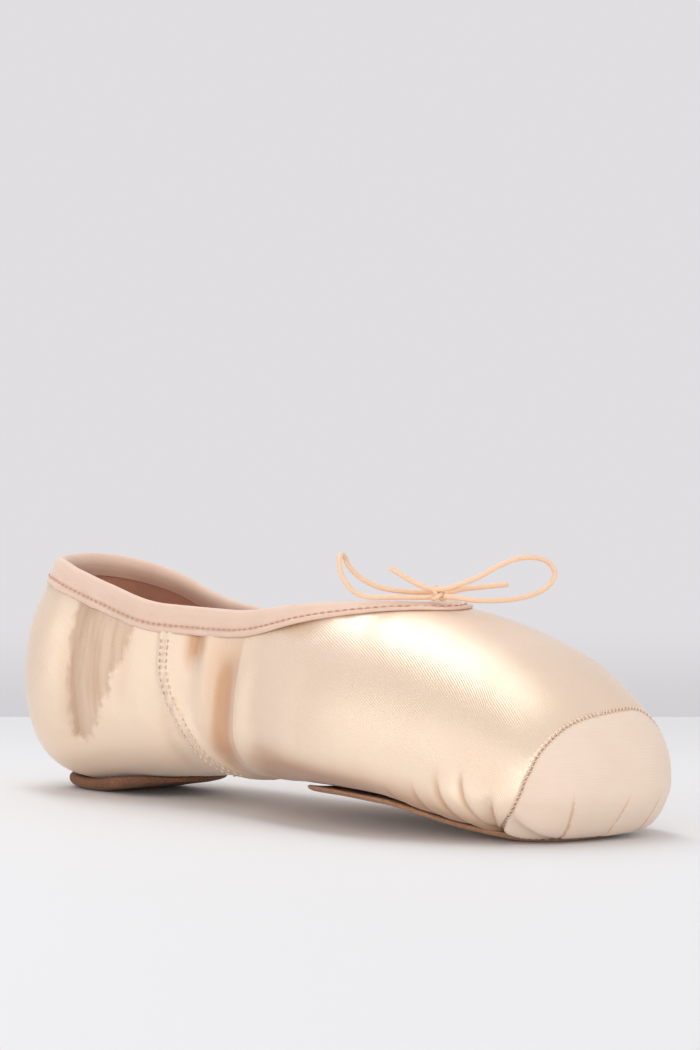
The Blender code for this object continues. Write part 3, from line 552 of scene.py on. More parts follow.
def rib(run, inset=0.0, tip=0.0):
    """Measure the rib at a run: turn, foot on the axis, half width, heights and powers.

    The toe closes along a rounded quarter in width and in height.
    """
    run, inset = np.broadcast_arrays(np.asarray(run, float), np.asarray(inset, float))
    turn = np.pi / 2 * (1.0 + np.maximum(-run, 0.0))
    closing = np.sin(np.pi / 2 * np.clip(run - 1.0, 0.0, 1.0))
    foot = HEEL_REACH + np.clip(run, 0.0, 1.0) * (CLOSE_AT - HEEL_REACH)
    foot = foot + (LENGTH - tip - CLOSE_AT) * closing
    half, under, widest, top, low, high = (
        smooth(SECTION["station"] * LENGTH, SECTION[name], foot) for name in SECTION_COLUMNS[1:])
    back = (np.abs(np.cos(turn)) / HEEL_REACH) ** HEEL_POWER
    side = (np.abs(np.sin(turn)) / SECTION["half"][0]) ** HEEL_POWER
    half = np.where(run < 0.0, (back + side) ** (-1.0 / HEEL_POWER), half)
    narrow = np.maximum(1.0 - closing ** CLOSE_POWER_WIDE, 0.0) ** (1.0 / CLOSE_POWER_WIDE)
    flat = np.maximum(1.0 - closing ** CLOSE_POWER_TALL, 0.0) ** (1.0 / CLOSE_POWER_TALL)
    half = (half - inset) * narrow
    under = POLE_HEIGHT + (under + inset - POLE_HEIGHT) * flat
    widest = POLE_HEIGHT + (widest - POLE_HEIGHT) * flat
    top = POLE_HEIGHT + (top - inset - POLE_HEIGHT) * flat
    return turn, foot, half, under, widest, top, low, high


def form(run, angle, side, inset=0.0, tip=0.0):
    """Give points of the form, or of the like form an inset inside it.

    Across and up are cosine and sine of the angle, each raised to 2 over the rib's power.
    """
    run, angle, side, inset = np.broadcast_arrays(run, angle, side, inset)
    turn, foot, half, under, widest, top, low, high = rib(run, inset, tip)
    power = np.where(angle < 0.0, low, high)
    across = np.cos(angle)
    up = np.sin(angle)
    reach = half * np.sign(across) * np.abs(across) ** (2.0 / power)
    lift = np.abs(up) ** (2.0 / power)
    height = np.where(angle < 0.0, widest - (widest - under) * lift, widest + (top - widest) * lift)
    pull = HEEL_FULL * bell(height - HEEL_FULL_AT, HEEL_FULL_SPREAD)
    pull = pull - HEEL_DRAW * ramp(height, HEEL_DRAW_FROM, HEEL_DRAW_WHOLE)
    reach = reach + pull * fade(foot, HEEL_PULL_WHOLE, HEEL_PULL_END) * np.sign(reach)
    x = foot + reach * np.cos(turn) - LENGTH / 2
    y = side * reach * np.sin(turn)
    return np.stack([x, y, height], -1)


def wall_at(run):
    """Thicken the wall smoothly from the soft sides to the stiff box."""
    share = np.clip((rib(run)[1] - THROAT_AT) / (CLOSE_AT - THROAT_AT), 0.0, 1.0)
    return WALL + (BOX_WALL - WALL) * share * share * (3.0 - 2.0 * share)


def collar_angle(run, side):
    """Give the angle at which the collar cuts each rib, 90 degrees where the rib is whole."""
    turn, foot, half, _, widest, top, _, high = rib(run)
    place = foot + half * np.cos(turn)
    height = smooth(COLLAR_EDGE["station"] * THROAT_AT, COLLAR_EDGE["near" if side == NEAR else "far"], place)
    share = np.clip((height - widest) / (top - widest), 0.0, 1.0)
    cut = np.arcsin(share ** (high / 2.0))
    start = THROAT_START * THROAT_AT
    along = np.clip((place - start) / (THROAT_AT - start), 0.0, 1.0)
    width = np.maximum(1.0 - along ** THROAT_POWER, 0.0) ** (1.0 / THROAT_POWER)
    return np.where(place > THROAT_AT - HAIR, np.pi / 2, np.pi / 2 - (np.pi / 2 - cut) * width)


def spread_angle(run, reach, inset=0.0):
    """Give the angle, under the form, at which a rib is a given distance from its axis."""
    half, low = rib(run, inset)[2], rib(run, inset)[6]
    share = np.clip(reach / np.maximum(half, TOUCHING), 0.0, 0.98)
    return -np.arccos(share ** (low / 2.0))


def rounded(x, rear, front):
    """Round both ends of an outline that runs from rear to front, as a quarter circle."""
    inner = 1.0 - np.clip(np.minimum(x - rear, front - x) / ROUND_END, 0.0, 1.0)
    return np.sqrt(np.maximum(1.0 - inner ** 2, 0.0))


def sole_reach(run, margin=0.0):
    """Half width of the forefoot sole at a run, less a margin all round, and 0 outside it."""
    foot = rib(run)[1]
    rear, front = SOLE_REAR + margin, min(SOLE_FRONT - margin, CLOSE_AT if margin else SOLE_FRONT)
    share = (foot - SOLE_REAR) / (SOLE_FRONT - SOLE_REAR)
    half = smooth(SOLE_EDGE["station"], SOLE_EDGE["half"], share) - margin
    return np.where(run < 0.0, 0.0, half * rounded(foot, rear, front))


def pad_reach(run, margin=0.0):
    """Reach of the heel pad from each rib's axis, less a margin all round, and 0 outside it."""
    turn, foot = rib(run)[:2]
    share = (foot - HEEL_REACH) / (PAD_FRONT - HEEL_REACH)
    half = smooth(PAD_EDGE["station"], PAD_EDGE["half"], share) - margin
    back = (np.abs(np.cos(turn)) / (HEEL_REACH - PAD_REAR - margin)) ** HEEL_POWER
    side = (np.abs(np.sin(turn)) / (PAD_EDGE["half"][0] - margin)) ** HEEL_POWER
    rear = (back + side) ** (-1.0 / HEEL_POWER)
    return np.where(run < 0.0, rear, half * rounded(foot, -LENGTH, PAD_FRONT - margin))


def body_runs(heel, side, throat, vamp):
    """List runs from the back of the heel to where the toe starts to close, from four counts."""
    start = THROAT_START * THROAT_AT
    quarter = np.linspace(0.0, np.pi / 2, throat, endpoint=False)
    foot = np.concatenate([np.linspace(HEEL_REACH, start, side, endpoint=False),
                           start + (THROAT_AT - start) * np.sin(quarter),
                           np.linspace(THROAT_AT, CLOSE_AT, vamp)])
    return np.concatenate([np.linspace(-1.0, 0.0, heel, endpoint=False), run_at(foot)])


def patch_run(angle, side, clear=0.0):
    """Give the run of the platform patch's edge at an angle."""
    depth = smooth(np.radians(PATCH_EDGE["angle"]), PATCH_EDGE["near" if side == NEAR else "far"], angle)
    return run_at(LENGTH - depth + clear)


def spread(low, high, steps):
    """Spread angles over half of each rib, in three counts of steps: under, across and over the belly."""
    low, high = np.asarray(low, float), np.asarray(high, float)
    corners = [low, np.full_like(low, BELLY_LOW), np.full_like(low, BELLY_HIGH), high]
    rows = [start[:, None] + (end - start)[:, None] * np.arange(count) / count
            for start, end, count in zip(corners[:-1], corners[1:], steps)]
    return np.concatenate(rows + [high[:, None]], 1)


# Meshes

def add_piece(name, mesh, material):
    """Add a mesh as a piece of the shoe, its doubles merged and its faces turned outwards."""
    build = bmesh.new()
    build.from_mesh(mesh)
    bmesh.ops.remove_doubles(build, verts=build.verts, dist=MERGE)
    bmesh.ops.dissolve_degenerate(build, edges=build.edges, dist=HAIR)
    bmesh.ops.recalc_face_normals(build, faces=build.faces)
    build.to_mesh(mesh)
    build.free()
    mesh.shade_smooth()
    mesh.materials.append(material)
    piece = bpy.data.objects.new(name, mesh)
    bpy.context.scene.collection.objects.link(piece)
    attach(piece, "root")
    return piece


class Patchwork:
    """Grids of points with the faces between them, joined into one closed mesh."""

    def __init__(self):
        self.points, self.faces, self.marks = [], [], []
        self.count = 0

    def grid(self, points, **marks):
        """Add a grid with a face in each cell, and any number of named values for each of its points."""
        rows, columns = points.shape[:2]
        numbers = self.count + np.arange(rows * columns).reshape(rows, columns)
        self.points.append(points.reshape(-1, 3))
        self.marks.append({k: np.broadcast_to(v, (rows, columns)).ravel() for k, v in marks.items()})
        self.count += rows * columns
        self.join(numbers)
        return numbers

    def join(self, numbers, keep=None):
        """Add the faces between neighbouring rows and columns of point numbers."""
        faces = np.stack([numbers[:-1, :-1], numbers[1:, :-1], numbers[1:, 1:], numbers[:-1, 1:]], -1)
        self.faces.append((faces if keep is None else faces[keep]).reshape(-1, 4))

    def edge(self, outer, inner, is_open=None):
        """Join two edges, where is_open says which of their points lie on an opening."""
        self.join(np.stack([outer, inner], 1), None if is_open is None else is_open[:-1] | is_open[1:])

    def make(self, name, material):
        """Make the object. Values named u and v become its UV map, and the others attributes."""
        points = np.concatenate(self.points)
        faces = np.concatenate(self.faces)
        mesh = bpy.data.meshes.new(name)
        mesh.from_pydata(points, [], faces)
        keys = sorted({k for marks in self.marks for k in marks})
        values = {k: np.concatenate([m.get(k, np.zeros(len(p))) for m, p in zip(self.marks, self.points)])
                  for k in keys}
        if "u" in values:
            layer = mesh.uv_layers.new(name="cloth")
            both = np.stack([values.pop("u"), values.pop("v")], -1)[faces.ravel()]
            layer.data.foreach_set("uv", both.astype(np.float32).ravel())
        for key, value in values.items():
            mesh.attributes.new(key, "FLOAT", "POINT").data.foreach_set("value", value.astype(np.float32))
        return add_piece(name, mesh, material)


def line_distance(x, z, x0, z0, x1, z1):
    """Distance from a line from one point to another, signed, and the share of the way along it."""
    dx, dz = x1 - x0, z1 - z0
    long = np.hypot(dx, dz)
    share = ((x - x0) * dx + (z - z0) * dz) / long ** 2
    across = ((x - x0) * dz - (z - z0) * dx) / long
    return across, share


def seam_distance(points):
    """Signed distance in front of the side seam's line."""
    heights, places = SEAM_LINE["height"] * BACK_HEIGHT, SEAM_LINE["along"] * LENGTH
    along = smooth(heights, places, points[..., 2])
    slope = (smooth(heights, places, points[..., 2] + MILLIMETRE) - along) / MILLIMETRE
    return (points[..., 0] + LENGTH / 2 - along) / np.sqrt(1.0 + slope ** 2)


def satin_relief(points, side):
    """How far the satin stands out: folds, tucks at the sole, and the side seam's raised fold.

    Each fold is a bell across its line times a soft fade at both ends. A tuck is a step that rises
    slowly on one side and falls at once on the other. A trough is held up by a hyperbolic tangent.
    """
    x, y, z = points[..., 0] + LENGTH / 2, points[..., 1], points[..., 2]
    out = np.zeros(x.shape)
    for row in FOLDS:
        fold = dict(zip(FOLD_COLUMNS, row))
        if fold["side"] != side:
            continue
        across, share = line_distance(x, z, fold["along_0"] * LENGTH, fold["high_0"] * BACK_HEIGHT,
                                      fold["along_1"] * LENGTH, fold["high_1"] * BACK_HEIGHT)
        ends = ramp(share, *FOLD_IN) * fade(share, *FOLD_OUT)
        out += MILLIMETRE * fold["depth"] * bell(across, MILLIMETRE * fold["width"]) * ends
    for row in TUCKS:
        tuck = dict(zip(TUCK_COLUMNS, row))
        if tuck["side"] != side:
            continue
        top, low = tuck["high"] * BACK_HEIGHT, tuck["low"] * BACK_HEIGHT
        down = np.clip((top - z) / (top - low), 0.0, 1.0)
        bend = tuck["along"] * LENGTH + tuck["slant"] * LENGTH * down ** 2
        across = x - bend
        ends = ramp(z, *(low * end for end in TUCK_LOW_END)) * fade(z, *(top * end for end in TUCK_HIGH_END))
        step = np.where(across > 0.0, np.exp(-across / TUCK_DIES), 0.0) * ramp(across, *TUCK_RISE)
        step = step - TUCK_CREASE_DEPTH * bell(across + TUCK_CREASE_BEHIND, TUCK_CREASE_WIDTH)
        out += MILLIMETRE * tuck["depth"] * step * ends
    seam = seam_distance(points)
    fold = fade(-seam, *SEAM_FOLD) * fade(seam, *SEAM_FOLD) - SEAM_CUT_DEPTH * bell(seam, SEAM_CUT_WIDTH)
    out += sizes().seam_raise * fold * ramp(np.abs(y), *SEAM_FLAT)
    return np.where(out < 0.0, DEEPEST * np.tanh(out / DEEPEST), out)


def cloth_marks(points):
    """Measure a grid of points along its columns and rows, in metres, for the cloth's UV map.

    Each is the sum of the steps between neighbours, the first averaged over all columns.
    """
    along = np.linalg.norm(np.diff(points, axis=0), axis=2).mean(1)
    u = np.concatenate([[0.0], np.cumsum(along)])[:, None] + np.zeros(points.shape[1])
    around = np.linalg.norm(np.diff(points, axis=1), axis=2)
    v = np.concatenate([np.zeros((len(points), 1)), np.cumsum(around, 1)], 1)
    v = v - v[:, points.shape[1] // 3][:, None]
    return u, v


def over_top(run, angle, side):
    """Measure how far each point lies down its rib from the middle of the top, counted across both sides."""
    dense = np.linspace(-np.pi / 2, np.pi / 2, 181)
    ribs = form(run.mean(1)[:, None], dense[None], side)
    length = np.concatenate([np.zeros((len(ribs), 1)), np.cumsum(
        np.linalg.norm(np.diff(ribs, axis=1), axis=2), 1)], 1)
    return side * np.stack([row[-1] - np.interp(a, dense, row) for a, row in zip(angle, length)])


def toe_rows(side, share, steps, start=None):
    """Give rows over the toe: from the patch's edge to the pole, or from start up to that edge."""
    angle = spread([-np.pi / 2], [np.pi / 2], steps)
    edge = patch_run(angle, side, GAP / 2 if start is None else -GAP / 2)
    if start is None:
        runs = edge + (2.0 - edge) * share[:, None]
    else:
        runs = start + (edge - start) * share[:, None]
    return np.broadcast_arrays(runs, angle)


def under_opening(runs):
    """Half width of the opening under both soles, and where there is one."""
    under = np.maximum(sole_reach(runs, LAST_MARGIN), pad_reach(runs, LAST_MARGIN))
    under = np.where(under > LEAST_OPEN * (PAD_HALF - LAST_MARGIN), under, 0.0)
    return np.where(under > 0.0, spread_angle(runs, under), -np.pi / 2), under > 0.0


def under_shade(points):
    """Give 1 where painted shade darkens the satin turned under the shoe, fading to 0 a little over the line
    above.
    """
    line = smooth(UNDER_EDGE["along"], UNDER_EDGE["height"], (points[..., 0] + LENGTH / 2) / LENGTH)
    return ramp(line * BACK_HEIGHT - points[..., 2], *UNDER_FADE)


def press_under_tape(relief, depth, run):
    """Flatten the ridges, and not the troughs, where the tape covers them below the collar's edge."""
    below = ramp(depth, *(sizes().tape_depth + step for step in PRESSED_OVER))
    covered = (relief > 0.0) & (rib(run)[1] < THROAT_AT)
    return np.where(covered, PRESSED + (1.0 - PRESSED) * below, 1.0)


def make_satin(material):
    """Make the satin skin, as the form plus its relief outside and the form less its thickness inside."""
    runs = body_runs(*SATIN_COUNTS)
    hem, under_open = under_opening(runs)
    box = np.linspace(0.0, 1.0, SATIN_BOX)[1:]
    tuck_in = np.linspace(0.0, *SATIN_TUCK_IN)
    cloth = Patchwork()
    for side in (NEAR, FAR):
        collar = collar_angle(runs, side)
        angle = spread(hem, collar, SATIN_STEPS)
        run = np.broadcast_to(runs[:, None], angle.shape)
        box_run, box_angle = toe_rows(side, box, SATIN_STEPS, start=1.0)
        tuck_run, tuck_angle = toe_rows(side, tuck_in, SATIN_STEPS)
        all_run = np.concatenate([run, box_run, tuck_run])
        all_angle = np.concatenate([angle, box_angle, tuck_angle])
        tucked = np.concatenate([np.zeros(len(run) + len(box_run)), np.ones(len(tuck_run))])[:, None]
        step = CAP_THICK + GAP
        base = form(all_run, all_angle, side)
        u, v = cloth_marks(base)[0], over_top(all_run, all_angle, side)
        relief = satin_relief(base, side) * (1.0 - tucked)
        relief = relief * press_under_tape(relief, np.abs(v) - np.abs(v[:, -1:]), all_run)
        outside = form(all_run, all_angle, side, step * tucked - relief, 0.0)
        outside[-len(tuck_run):] = form(tuck_run, tuck_angle, side, step, step)
        inside = form(all_run, all_angle, side, SATIN_CLOTH + step * tucked, 0.0)
        inside[-len(tuck_run):] = form(tuck_run, tuck_angle, side, step + SATIN_CLOTH / 2, step + SATIN_CLOTH)
        # The relief and the under mark are kept on the mesh for the painted shade in troughs and under the
        # shoe
        outer = cloth.grid(outside, u=u, v=v, relief=relief / MILLIMETRE, under=under_shade(base))
        inner = cloth.grid(inside, u=u, v=v)
        body = len(runs)
        cloth.edge(outer[:body, -1], inner[:body, -1], collar < np.pi / 2 - TOUCHING)
        cloth.edge(outer[:body, 0], inner[:body, 0], under_open)
        cloth.edge(outer[-1], inner[-1])
    piece = cloth.make("satin_upper", material)
    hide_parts("upper")
    return piece


def make_lining(material):
    """Make the lining and box behind the satin, closed over the inside of the platform."""
    runs = body_runs(*LINING_COUNTS)
    hem, under_open = under_opening(runs)
    wall = wall_at(runs)[:, None]
    box = np.linspace(0.0, 1.0, LINING_BOX)[1:]
    toe = np.sin(np.linspace(0.0, np.pi / 2, LINING_TOE))
    cloth = Patchwork()
    for side in (NEAR, FAR):
        collar = collar_angle(runs, side)
        angle = spread(hem, collar, LINING_STEPS)
        run = np.broadcast_to(runs[:, None], angle.shape)
        box_run, box_angle = toe_rows(side, box, LINING_STEPS, start=1.0)
        toe_run, toe_angle = toe_rows(side, toe[1:], LINING_STEPS)
        all_run = np.concatenate([run, box_run, toe_run])
        all_angle = np.concatenate([angle, box_angle, toe_angle])
        behind = SATIN_CLOTH + LINING_GAP
        outer_inset = np.full((len(all_run), 1), behind)
        outer_inset[-len(toe_run):] = CAP_THICK + GAP + behind
        walls = np.concatenate([wall, np.full((len(box) + len(toe_run), 1), BOX_WALL)])
        outside = form(all_run, all_angle, side, outer_inset, CAP_THICK + GAP + behind)
        inside = form(all_run, all_angle, side, walls, PLATFORM_WALL)
        u, v = cloth_marks(inside)
        outer = cloth.grid(outside, u=u, v=side * v)
        inner = cloth.grid(inside, u=u, v=side * v)
        body = len(runs)
        cloth.edge(outer[:body, -1], inner[:body, -1], collar < np.pi / 2 - TOUCHING)
        cloth.edge(outer[:body, 0], inner[:body, 0], under_open)
    return cloth.make("cotton_lining", material)


def patch_relief(points):
    """How far the patch stands out at its pleats. Each is a step with a bell cut in beside it."""
    broad = points[..., 1] / PLATFORM_HALF
    high = points[..., 2] / BOX_HEIGHT
    out = np.zeros(broad.shape)
    for row in PLEATS:
        pleat = dict(zip(PLEAT_COLUMNS, row))
        share = np.clip((pleat["high_0"] - high) / (pleat["high_0"] - pleat["high_1"]), 0.0, 1.3)
        line = pleat["broad_0"] + (pleat["broad_1"] - pleat["broad_0"]) * share ** 2
        across = (broad - line) * PLATFORM_HALF
        step = np.where(across > 0.0, np.exp(-across / PLEAT_DIES), 0.0)
        step = PLEAT_HEIGHT * step * ramp(across, -PLEAT_RISE, PLEAT_RISE)
        step = step - bell(across + PLEAT_CREASE_BEHIND, PLEAT_CREASE_WIDTH)
        out += MILLIMETRE * pleat["depth"] * ramp(share, *PLEAT_IN) * step
    return out


def lap_sole(points):
    """Let the patch hang down beside the sole's edge, almost to the floor, so that it laps the sole.

    Its height above the lip falls by a bell over the distance outside the sole's outline.
    """
    points = points.copy()
    x, y, z = (points[..., k] for k in range(3))
    foot = x + LENGTH / 2
    share = (foot - SOLE_REAR) / (SOLE_FRONT - SOLE_REAR)
    half = smooth(SOLE_EDGE["station"], SOLE_EDGE["half"], share) * rounded(foot, SOLE_REAR, SOLE_FRONT)
    beside = np.where(foot < SOLE_FRONT, np.abs(y) - half, foot - SOLE_FRONT)
    drop = ramp(beside, *LAP_BESIDE) * bell(np.maximum(beside - LAP_BESIDE[1], 0.0), LAP_SPREAD)
    drop = LAP_SHARE * drop * ramp(foot, *LAP_ALONG) * fade(z, *LAP_BELOW)
    points[..., 2] = z - np.maximum(z - LAP_HEIGHT, 0.0) * drop
    return points


def make_patch(material):
    """Make the platform patch: the form from the patch's edge to the pole, less its thickness inside."""
    share = np.sin(np.linspace(0.0, np.pi / 2, PATCH_ROWS))
    cloth = Patchwork()
    for side in (NEAR, FAR):
        run, angle = toe_rows(side, share, PATCH_STEPS)
        base = form(run, angle, side)
        edge = np.linspace(0.0, 1.0, len(share))[:, None]
        relief = patch_relief(base) * ramp(edge, *PATCH_EDGE_FADE)
        relief = relief - PATCH_EDGE_DIP * bell(edge, PATCH_EDGE_DIP_WIDTH)
        outside = lap_sole(form(run, angle, side, -relief, 0.0))
        inside = form(run, angle, side, CAP_THICK, CAP_THICK)
        u, v = cloth_marks(base)
        # The relief is kept on the mesh for the painted shade in the pleats' creases
        outer = cloth.grid(outside, u=u, v=side * v, relief=relief / MILLIMETRE)
        inner = cloth.grid(inside, u=u, v=side * v)
        cloth.edge(outer[0], inner[0])
    piece = cloth.make("platform_patch", material)
    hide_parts("toe_cap")
    return piece


def collar_frame():
    """Give run, angle, side, step down from the edge and length, all round the collar.

    The step is the change in run and in angle for one metre down the form, square to the edge.
    """
    runs = body_runs(*COLLAR_COUNTS, 2)
    runs = runs[rib(runs)[1] <= THROAT_AT + HAIR]
    near, far = collar_angle(runs, NEAR), collar_angle(runs, FAR)
    run = np.concatenate([runs, runs[-2:0:-1]])
    angle = np.concatenate([near, far[-2:0:-1]])
    sides = np.concatenate([np.full(len(near), NEAR), np.full(len(far) - 2, FAR)])
    edge = form(run, angle, sides)
    along = np.roll(edge, -1, 0) - np.roll(edge, 1, 0)
    clear = np.where(np.abs(run) < 2 * SMALL, 2 * SMALL, run)
    by_run = (form(clear + SMALL, angle, sides) - form(clear - SMALL, angle, sides)) / (2 * SMALL)
    by_angle = (form(run, angle + SMALL, sides) - form(run, angle - SMALL, sides)) / (2 * SMALL)
    out = np.cross(by_run, by_angle)
    out /= np.linalg.norm(out, axis=1, keepdims=True)
    down = np.cross(along, out)
    down /= np.linalg.norm(down, axis=1, keepdims=True)
    upright = np.where(np.abs(down[:, 2]) > np.abs(down[:, 0]), -down[:, 2], down[:, 0])
    down *= np.sign(upright)[:, None]
    grid = np.stack([by_run, by_angle], -1)
    square, towards = np.einsum("kij,kil->kjl", grid, grid), np.einsum("kij,ki->kj", grid, down)
    step = np.linalg.solve(square, towards[..., None])
    length = np.concatenate([[0.0], np.cumsum(np.linalg.norm(np.diff(edge, axis=0), axis=1))])
    return run, angle, sides, step[..., 0], length


def collar_points(depth, inset, collar):
    """Give points at a depth below the collar's edge and an inset inside the form's surface.

    A run counts for less distance behind the heel's axis than in front of it, so a step over the
    axis is scaled by the ratio of the two.
    """
    run, angle, sides, step, _ = collar
    ahead = run[:, None] + step[:, :1] * depth
    ratio = (CLOSE_AT - HEEL_REACH) / (np.pi / 2 * np.abs(form(0.0, angle, sides)[:, 1:2]))
    over = (run[:, None] < 0.0) != (ahead < 0.0)
    ahead = np.where(over, ahead * np.where(ahead < 0.0, ratio, 1.0 / ratio), ahead)
    return form(ahead, angle[:, None] + step[:, 1:] * depth, sides[:, None], inset)


def tape_profile():
    """Trace the folded tape's outline: down the outside, a round roll over the edge, down the inside.

    Each row is a depth below the collar's edge and an inset. The roll is half an ellipse.
    """
    roll, low_out, low_in = sizes().tape_roll, sizes().tape_depth, sizes().tape_inside
    outer, outer_back = -TAPE_GAP - TAPE_THICK, -TAPE_GAP
    inner, inner_back = WALL + TAPE_GAP + TAPE_THICK, WALL + TAPE_GAP
    middle, reach = (outer + inner) / 2, (inner - outer) / 2 + TAPE_SWELL_IN
    depth_out = np.linspace(low_out, 1.15 * roll, TAPE_ROWS[0])
    down_out = np.stack([depth_out, outer - TAPE_SWELL_OUT * fade(depth_out, 1.1 * roll, 3.6 * roll)], 1)
    turn = np.linspace(0.0, np.pi, TAPE_ROWS[1])[1:-1]
    over = np.stack([0.75 * roll - 1.75 * roll * np.sin(turn) ** 0.9, middle - reach * np.cos(turn)], 1)
    depth_in = np.linspace(1.15 * roll, low_in, TAPE_ROWS[2])
    down_in = np.stack([depth_in, inner + TAPE_SWELL_IN * fade(depth_in, 1.1 * roll, 3.0 * roll)], 1)
    back = np.array([
        (low_in + TAPE_HEM_IN, inner - TAPE_HEM_BACK), (low_in, inner_back),
        (2.2 * roll, inner_back), (-TAPE_GAP, inner_back), (-TAPE_GAP, outer_back),
        (2.2 * roll, outer_back), (low_out, outer_back),
        (low_out + TAPE_HEM_OUT, outer + TAPE_HEM_BACK),
    ])
    return np.concatenate([down_out, over, down_in, back])


def make_tape(material):
    """Make the tape round the collar: its outline carried round the edge, puckered between stitches."""
    collar = collar_frame()
    outline = tape_profile()
    depth, inset = outline[None, :, 0], outline[None, :, 1]
    length = collar[4][:, None]
    outside = ramp(-inset, 0.0, TAPE_THICK)
    wave = sum(high * np.sin(length * 2 * np.pi / long + start) for high, long, start in TAPE_WAVES)
    wave = wave * ramp(length, 0.0, TAPE_WAVE_FADE) * ramp(length[-1] - length, 0.0, TAPE_WAVE_FADE)
    above = sizes().tape_depth - depth
    pucker = TAPE_PUCKER * wave * ramp(depth, *TAPE_PUCKER_DEPTH)
    groove = TAPE_GROOVE * bell(above - TAPE_STITCHES, TAPE_GROOVE_WIDTH)
    edge_roll = TAPE_EDGE_ROLL * bell(above - TAPE_EDGE, TAPE_EDGE_WIDTH)
    shift = TAPE_SHIFT * wave * ramp(depth, *TAPE_SHIFT_DEPTH)
    points = collar_points(depth + shift * outside, inset + (groove - pucker - edge_roll) * outside, collar)
    u = np.broadcast_to(length, points.shape[:2])
    around = np.concatenate([[0.0], np.cumsum(np.linalg.norm(np.diff(outline, axis=0), axis=1))])
    v = np.broadcast_to(around[None, :], points.shape[:2])
    points = np.concatenate([points, points[:1]])
    u = np.concatenate([u, u[-1:] + MILLIMETRE])
    v = np.concatenate([v, v[:1]])
    points = np.concatenate([points, points[:, :1]], 1)
    u, v = np.concatenate([u, u[:, :1]], 1), np.concatenate([v, v[:, -1:] + MILLIMETRE / 2], 1)
    cloth = Patchwork()
    cloth.grid(points, u=u, v=v)
    piece = cloth.make("collar_tape", material)
    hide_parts("binding")
    return piece


def sew(name, starts, ends, outward, material, thick):
    """Make a row of stitches. Each is a tube between two points, arched outwards and closed at its ends.

    Its radius is the square root of a sine along it, and its middle stands up by half a sine.
    """
    along = ends - starts
    across = np.cross(along, outward)
    across /= np.linalg.norm(across, axis=1, keepdims=True)
    t = np.linspace(0.0, 1.0, STITCH_RINGS)
    turn = np.linspace(0.0, 2 * np.pi, STITCH_SIDES + 1)[:-1]
    radius = thick / 2 * np.sqrt(np.sin(np.pi * np.clip(t, 0.02, 0.98)))
    middle = starts[:, None] + along[:, None] * t[None, :, None]
    middle = middle + outward[:, None] * (ARCH * thick * np.sin(np.pi * t))[None, :, None]
    ring = (across[:, None, None] * np.cos(turn)[None, None, :, None]
            + outward[:, None, None] * np.sin(turn)[None, None, :, None])
    points = middle[:, :, None] + ring * radius[None, :, None, None]
    numbers = np.arange(points[..., 0].size).reshape(points.shape[:-1])
    wrap = np.concatenate([numbers, numbers[:, :, :1]], 2)
    sides = np.stack([wrap[:, :-1, :-1], wrap[:, :-1, 1:], wrap[:, 1:, 1:], wrap[:, 1:, :-1]], -1)
    mesh = bpy.data.meshes.new(name)
    caps = np.concatenate([numbers[:, 0, ::-1], numbers[:, -1]])
    mesh.from_pydata(points.reshape(-1, 3), [], sides.reshape(-1, 4).tolist() + caps.tolist())
    return add_piece(name, mesh, material)


def places_along(points, outward, pitch, share):
    """Set stitches at a pitch along a line of points: starts, ends and outward ways.

    Each takes a share of the pitch.
    """
    length = np.concatenate([[0.0], np.cumsum(np.linalg.norm(np.diff(points, axis=0), axis=1))])
    count = int(length[-1] / pitch)
    at = (np.arange(count) + 0.25) * pitch

    def read(values, where):
        return np.stack([np.interp(where, length, values[:, k]) for k in range(3)], -1)
    way = read(outward, at)
    way /= np.linalg.norm(way, axis=1, keepdims=True)
    return read(points, at), read(points, at + share * pitch), way


def outward_at(run, angle, side):
    """Give the form's outward way at places on it."""
    by_run = form(run + SMALL, angle, side) - form(run - SMALL, angle, side)
    by_angle = form(run, angle + SMALL, side) - form(run, angle - SMALL, side)
    out = np.cross(by_run, by_angle) * np.where(np.asarray(side) == NEAR, 1.0, -1.0)[..., None]
    middle = np.stack([form(run, angle, side)[..., 0], 0 * run, np.full(np.shape(run), BELLY_HEIGHT)], -1)
    out *= np.sign(((form(run, angle, side) - middle) * out).sum(-1))[..., None]
    return out / np.linalg.norm(out, axis=-1, keepdims=True)


def make_collar_stitches(material):
    """Sew the tape down: one row of stitches near its lower edge, outside."""
    collar = collar_frame()
    inset = -TAPE_GAP - TAPE_THICK - ON_CLOTH
    depth = sizes().tape_depth - TAPE_STITCHES
    line = collar_points(np.full((1, 1), depth), np.full((1, 1), inset), collar)[:, 0]
    out = outward_at(collar[0], np.minimum(collar[1], np.pi / 2 - 0.002), collar[2])
    share = sizes().stitch / sizes().stitch_pitch
    starts, ends, way = places_along(np.concatenate([line, line[:1]]), np.concatenate([out, out[:1]]),
                                     sizes().stitch_pitch, share)
    return sew("collar_stitches", starts, ends, way, material, sizes().thread)


def seam_path(side, shift):
    """Walk down the side seam on one side, a shift in front of its line: runs, angles and points.

    Each run starts as a guess, and is moved by its distance from the line until it lies on it.
    """
    angles = np.linspace(*np.radians(SEAM_ANGLES), 240)
    runs = np.full(len(angles), 0.30)
    for _ in range(14):
        points = form(runs, angles, side)
        runs = runs - (seam_distance(points) - shift) / (CLOSE_AT - HEEL_REACH) * 0.9
    points = form(runs, angles, side)
    collar = collar_angle(runs, side)
    keep = angles < collar - np.radians(SEAM_BELOW_COLLAR)
    return runs[keep], angles[keep], points[keep]


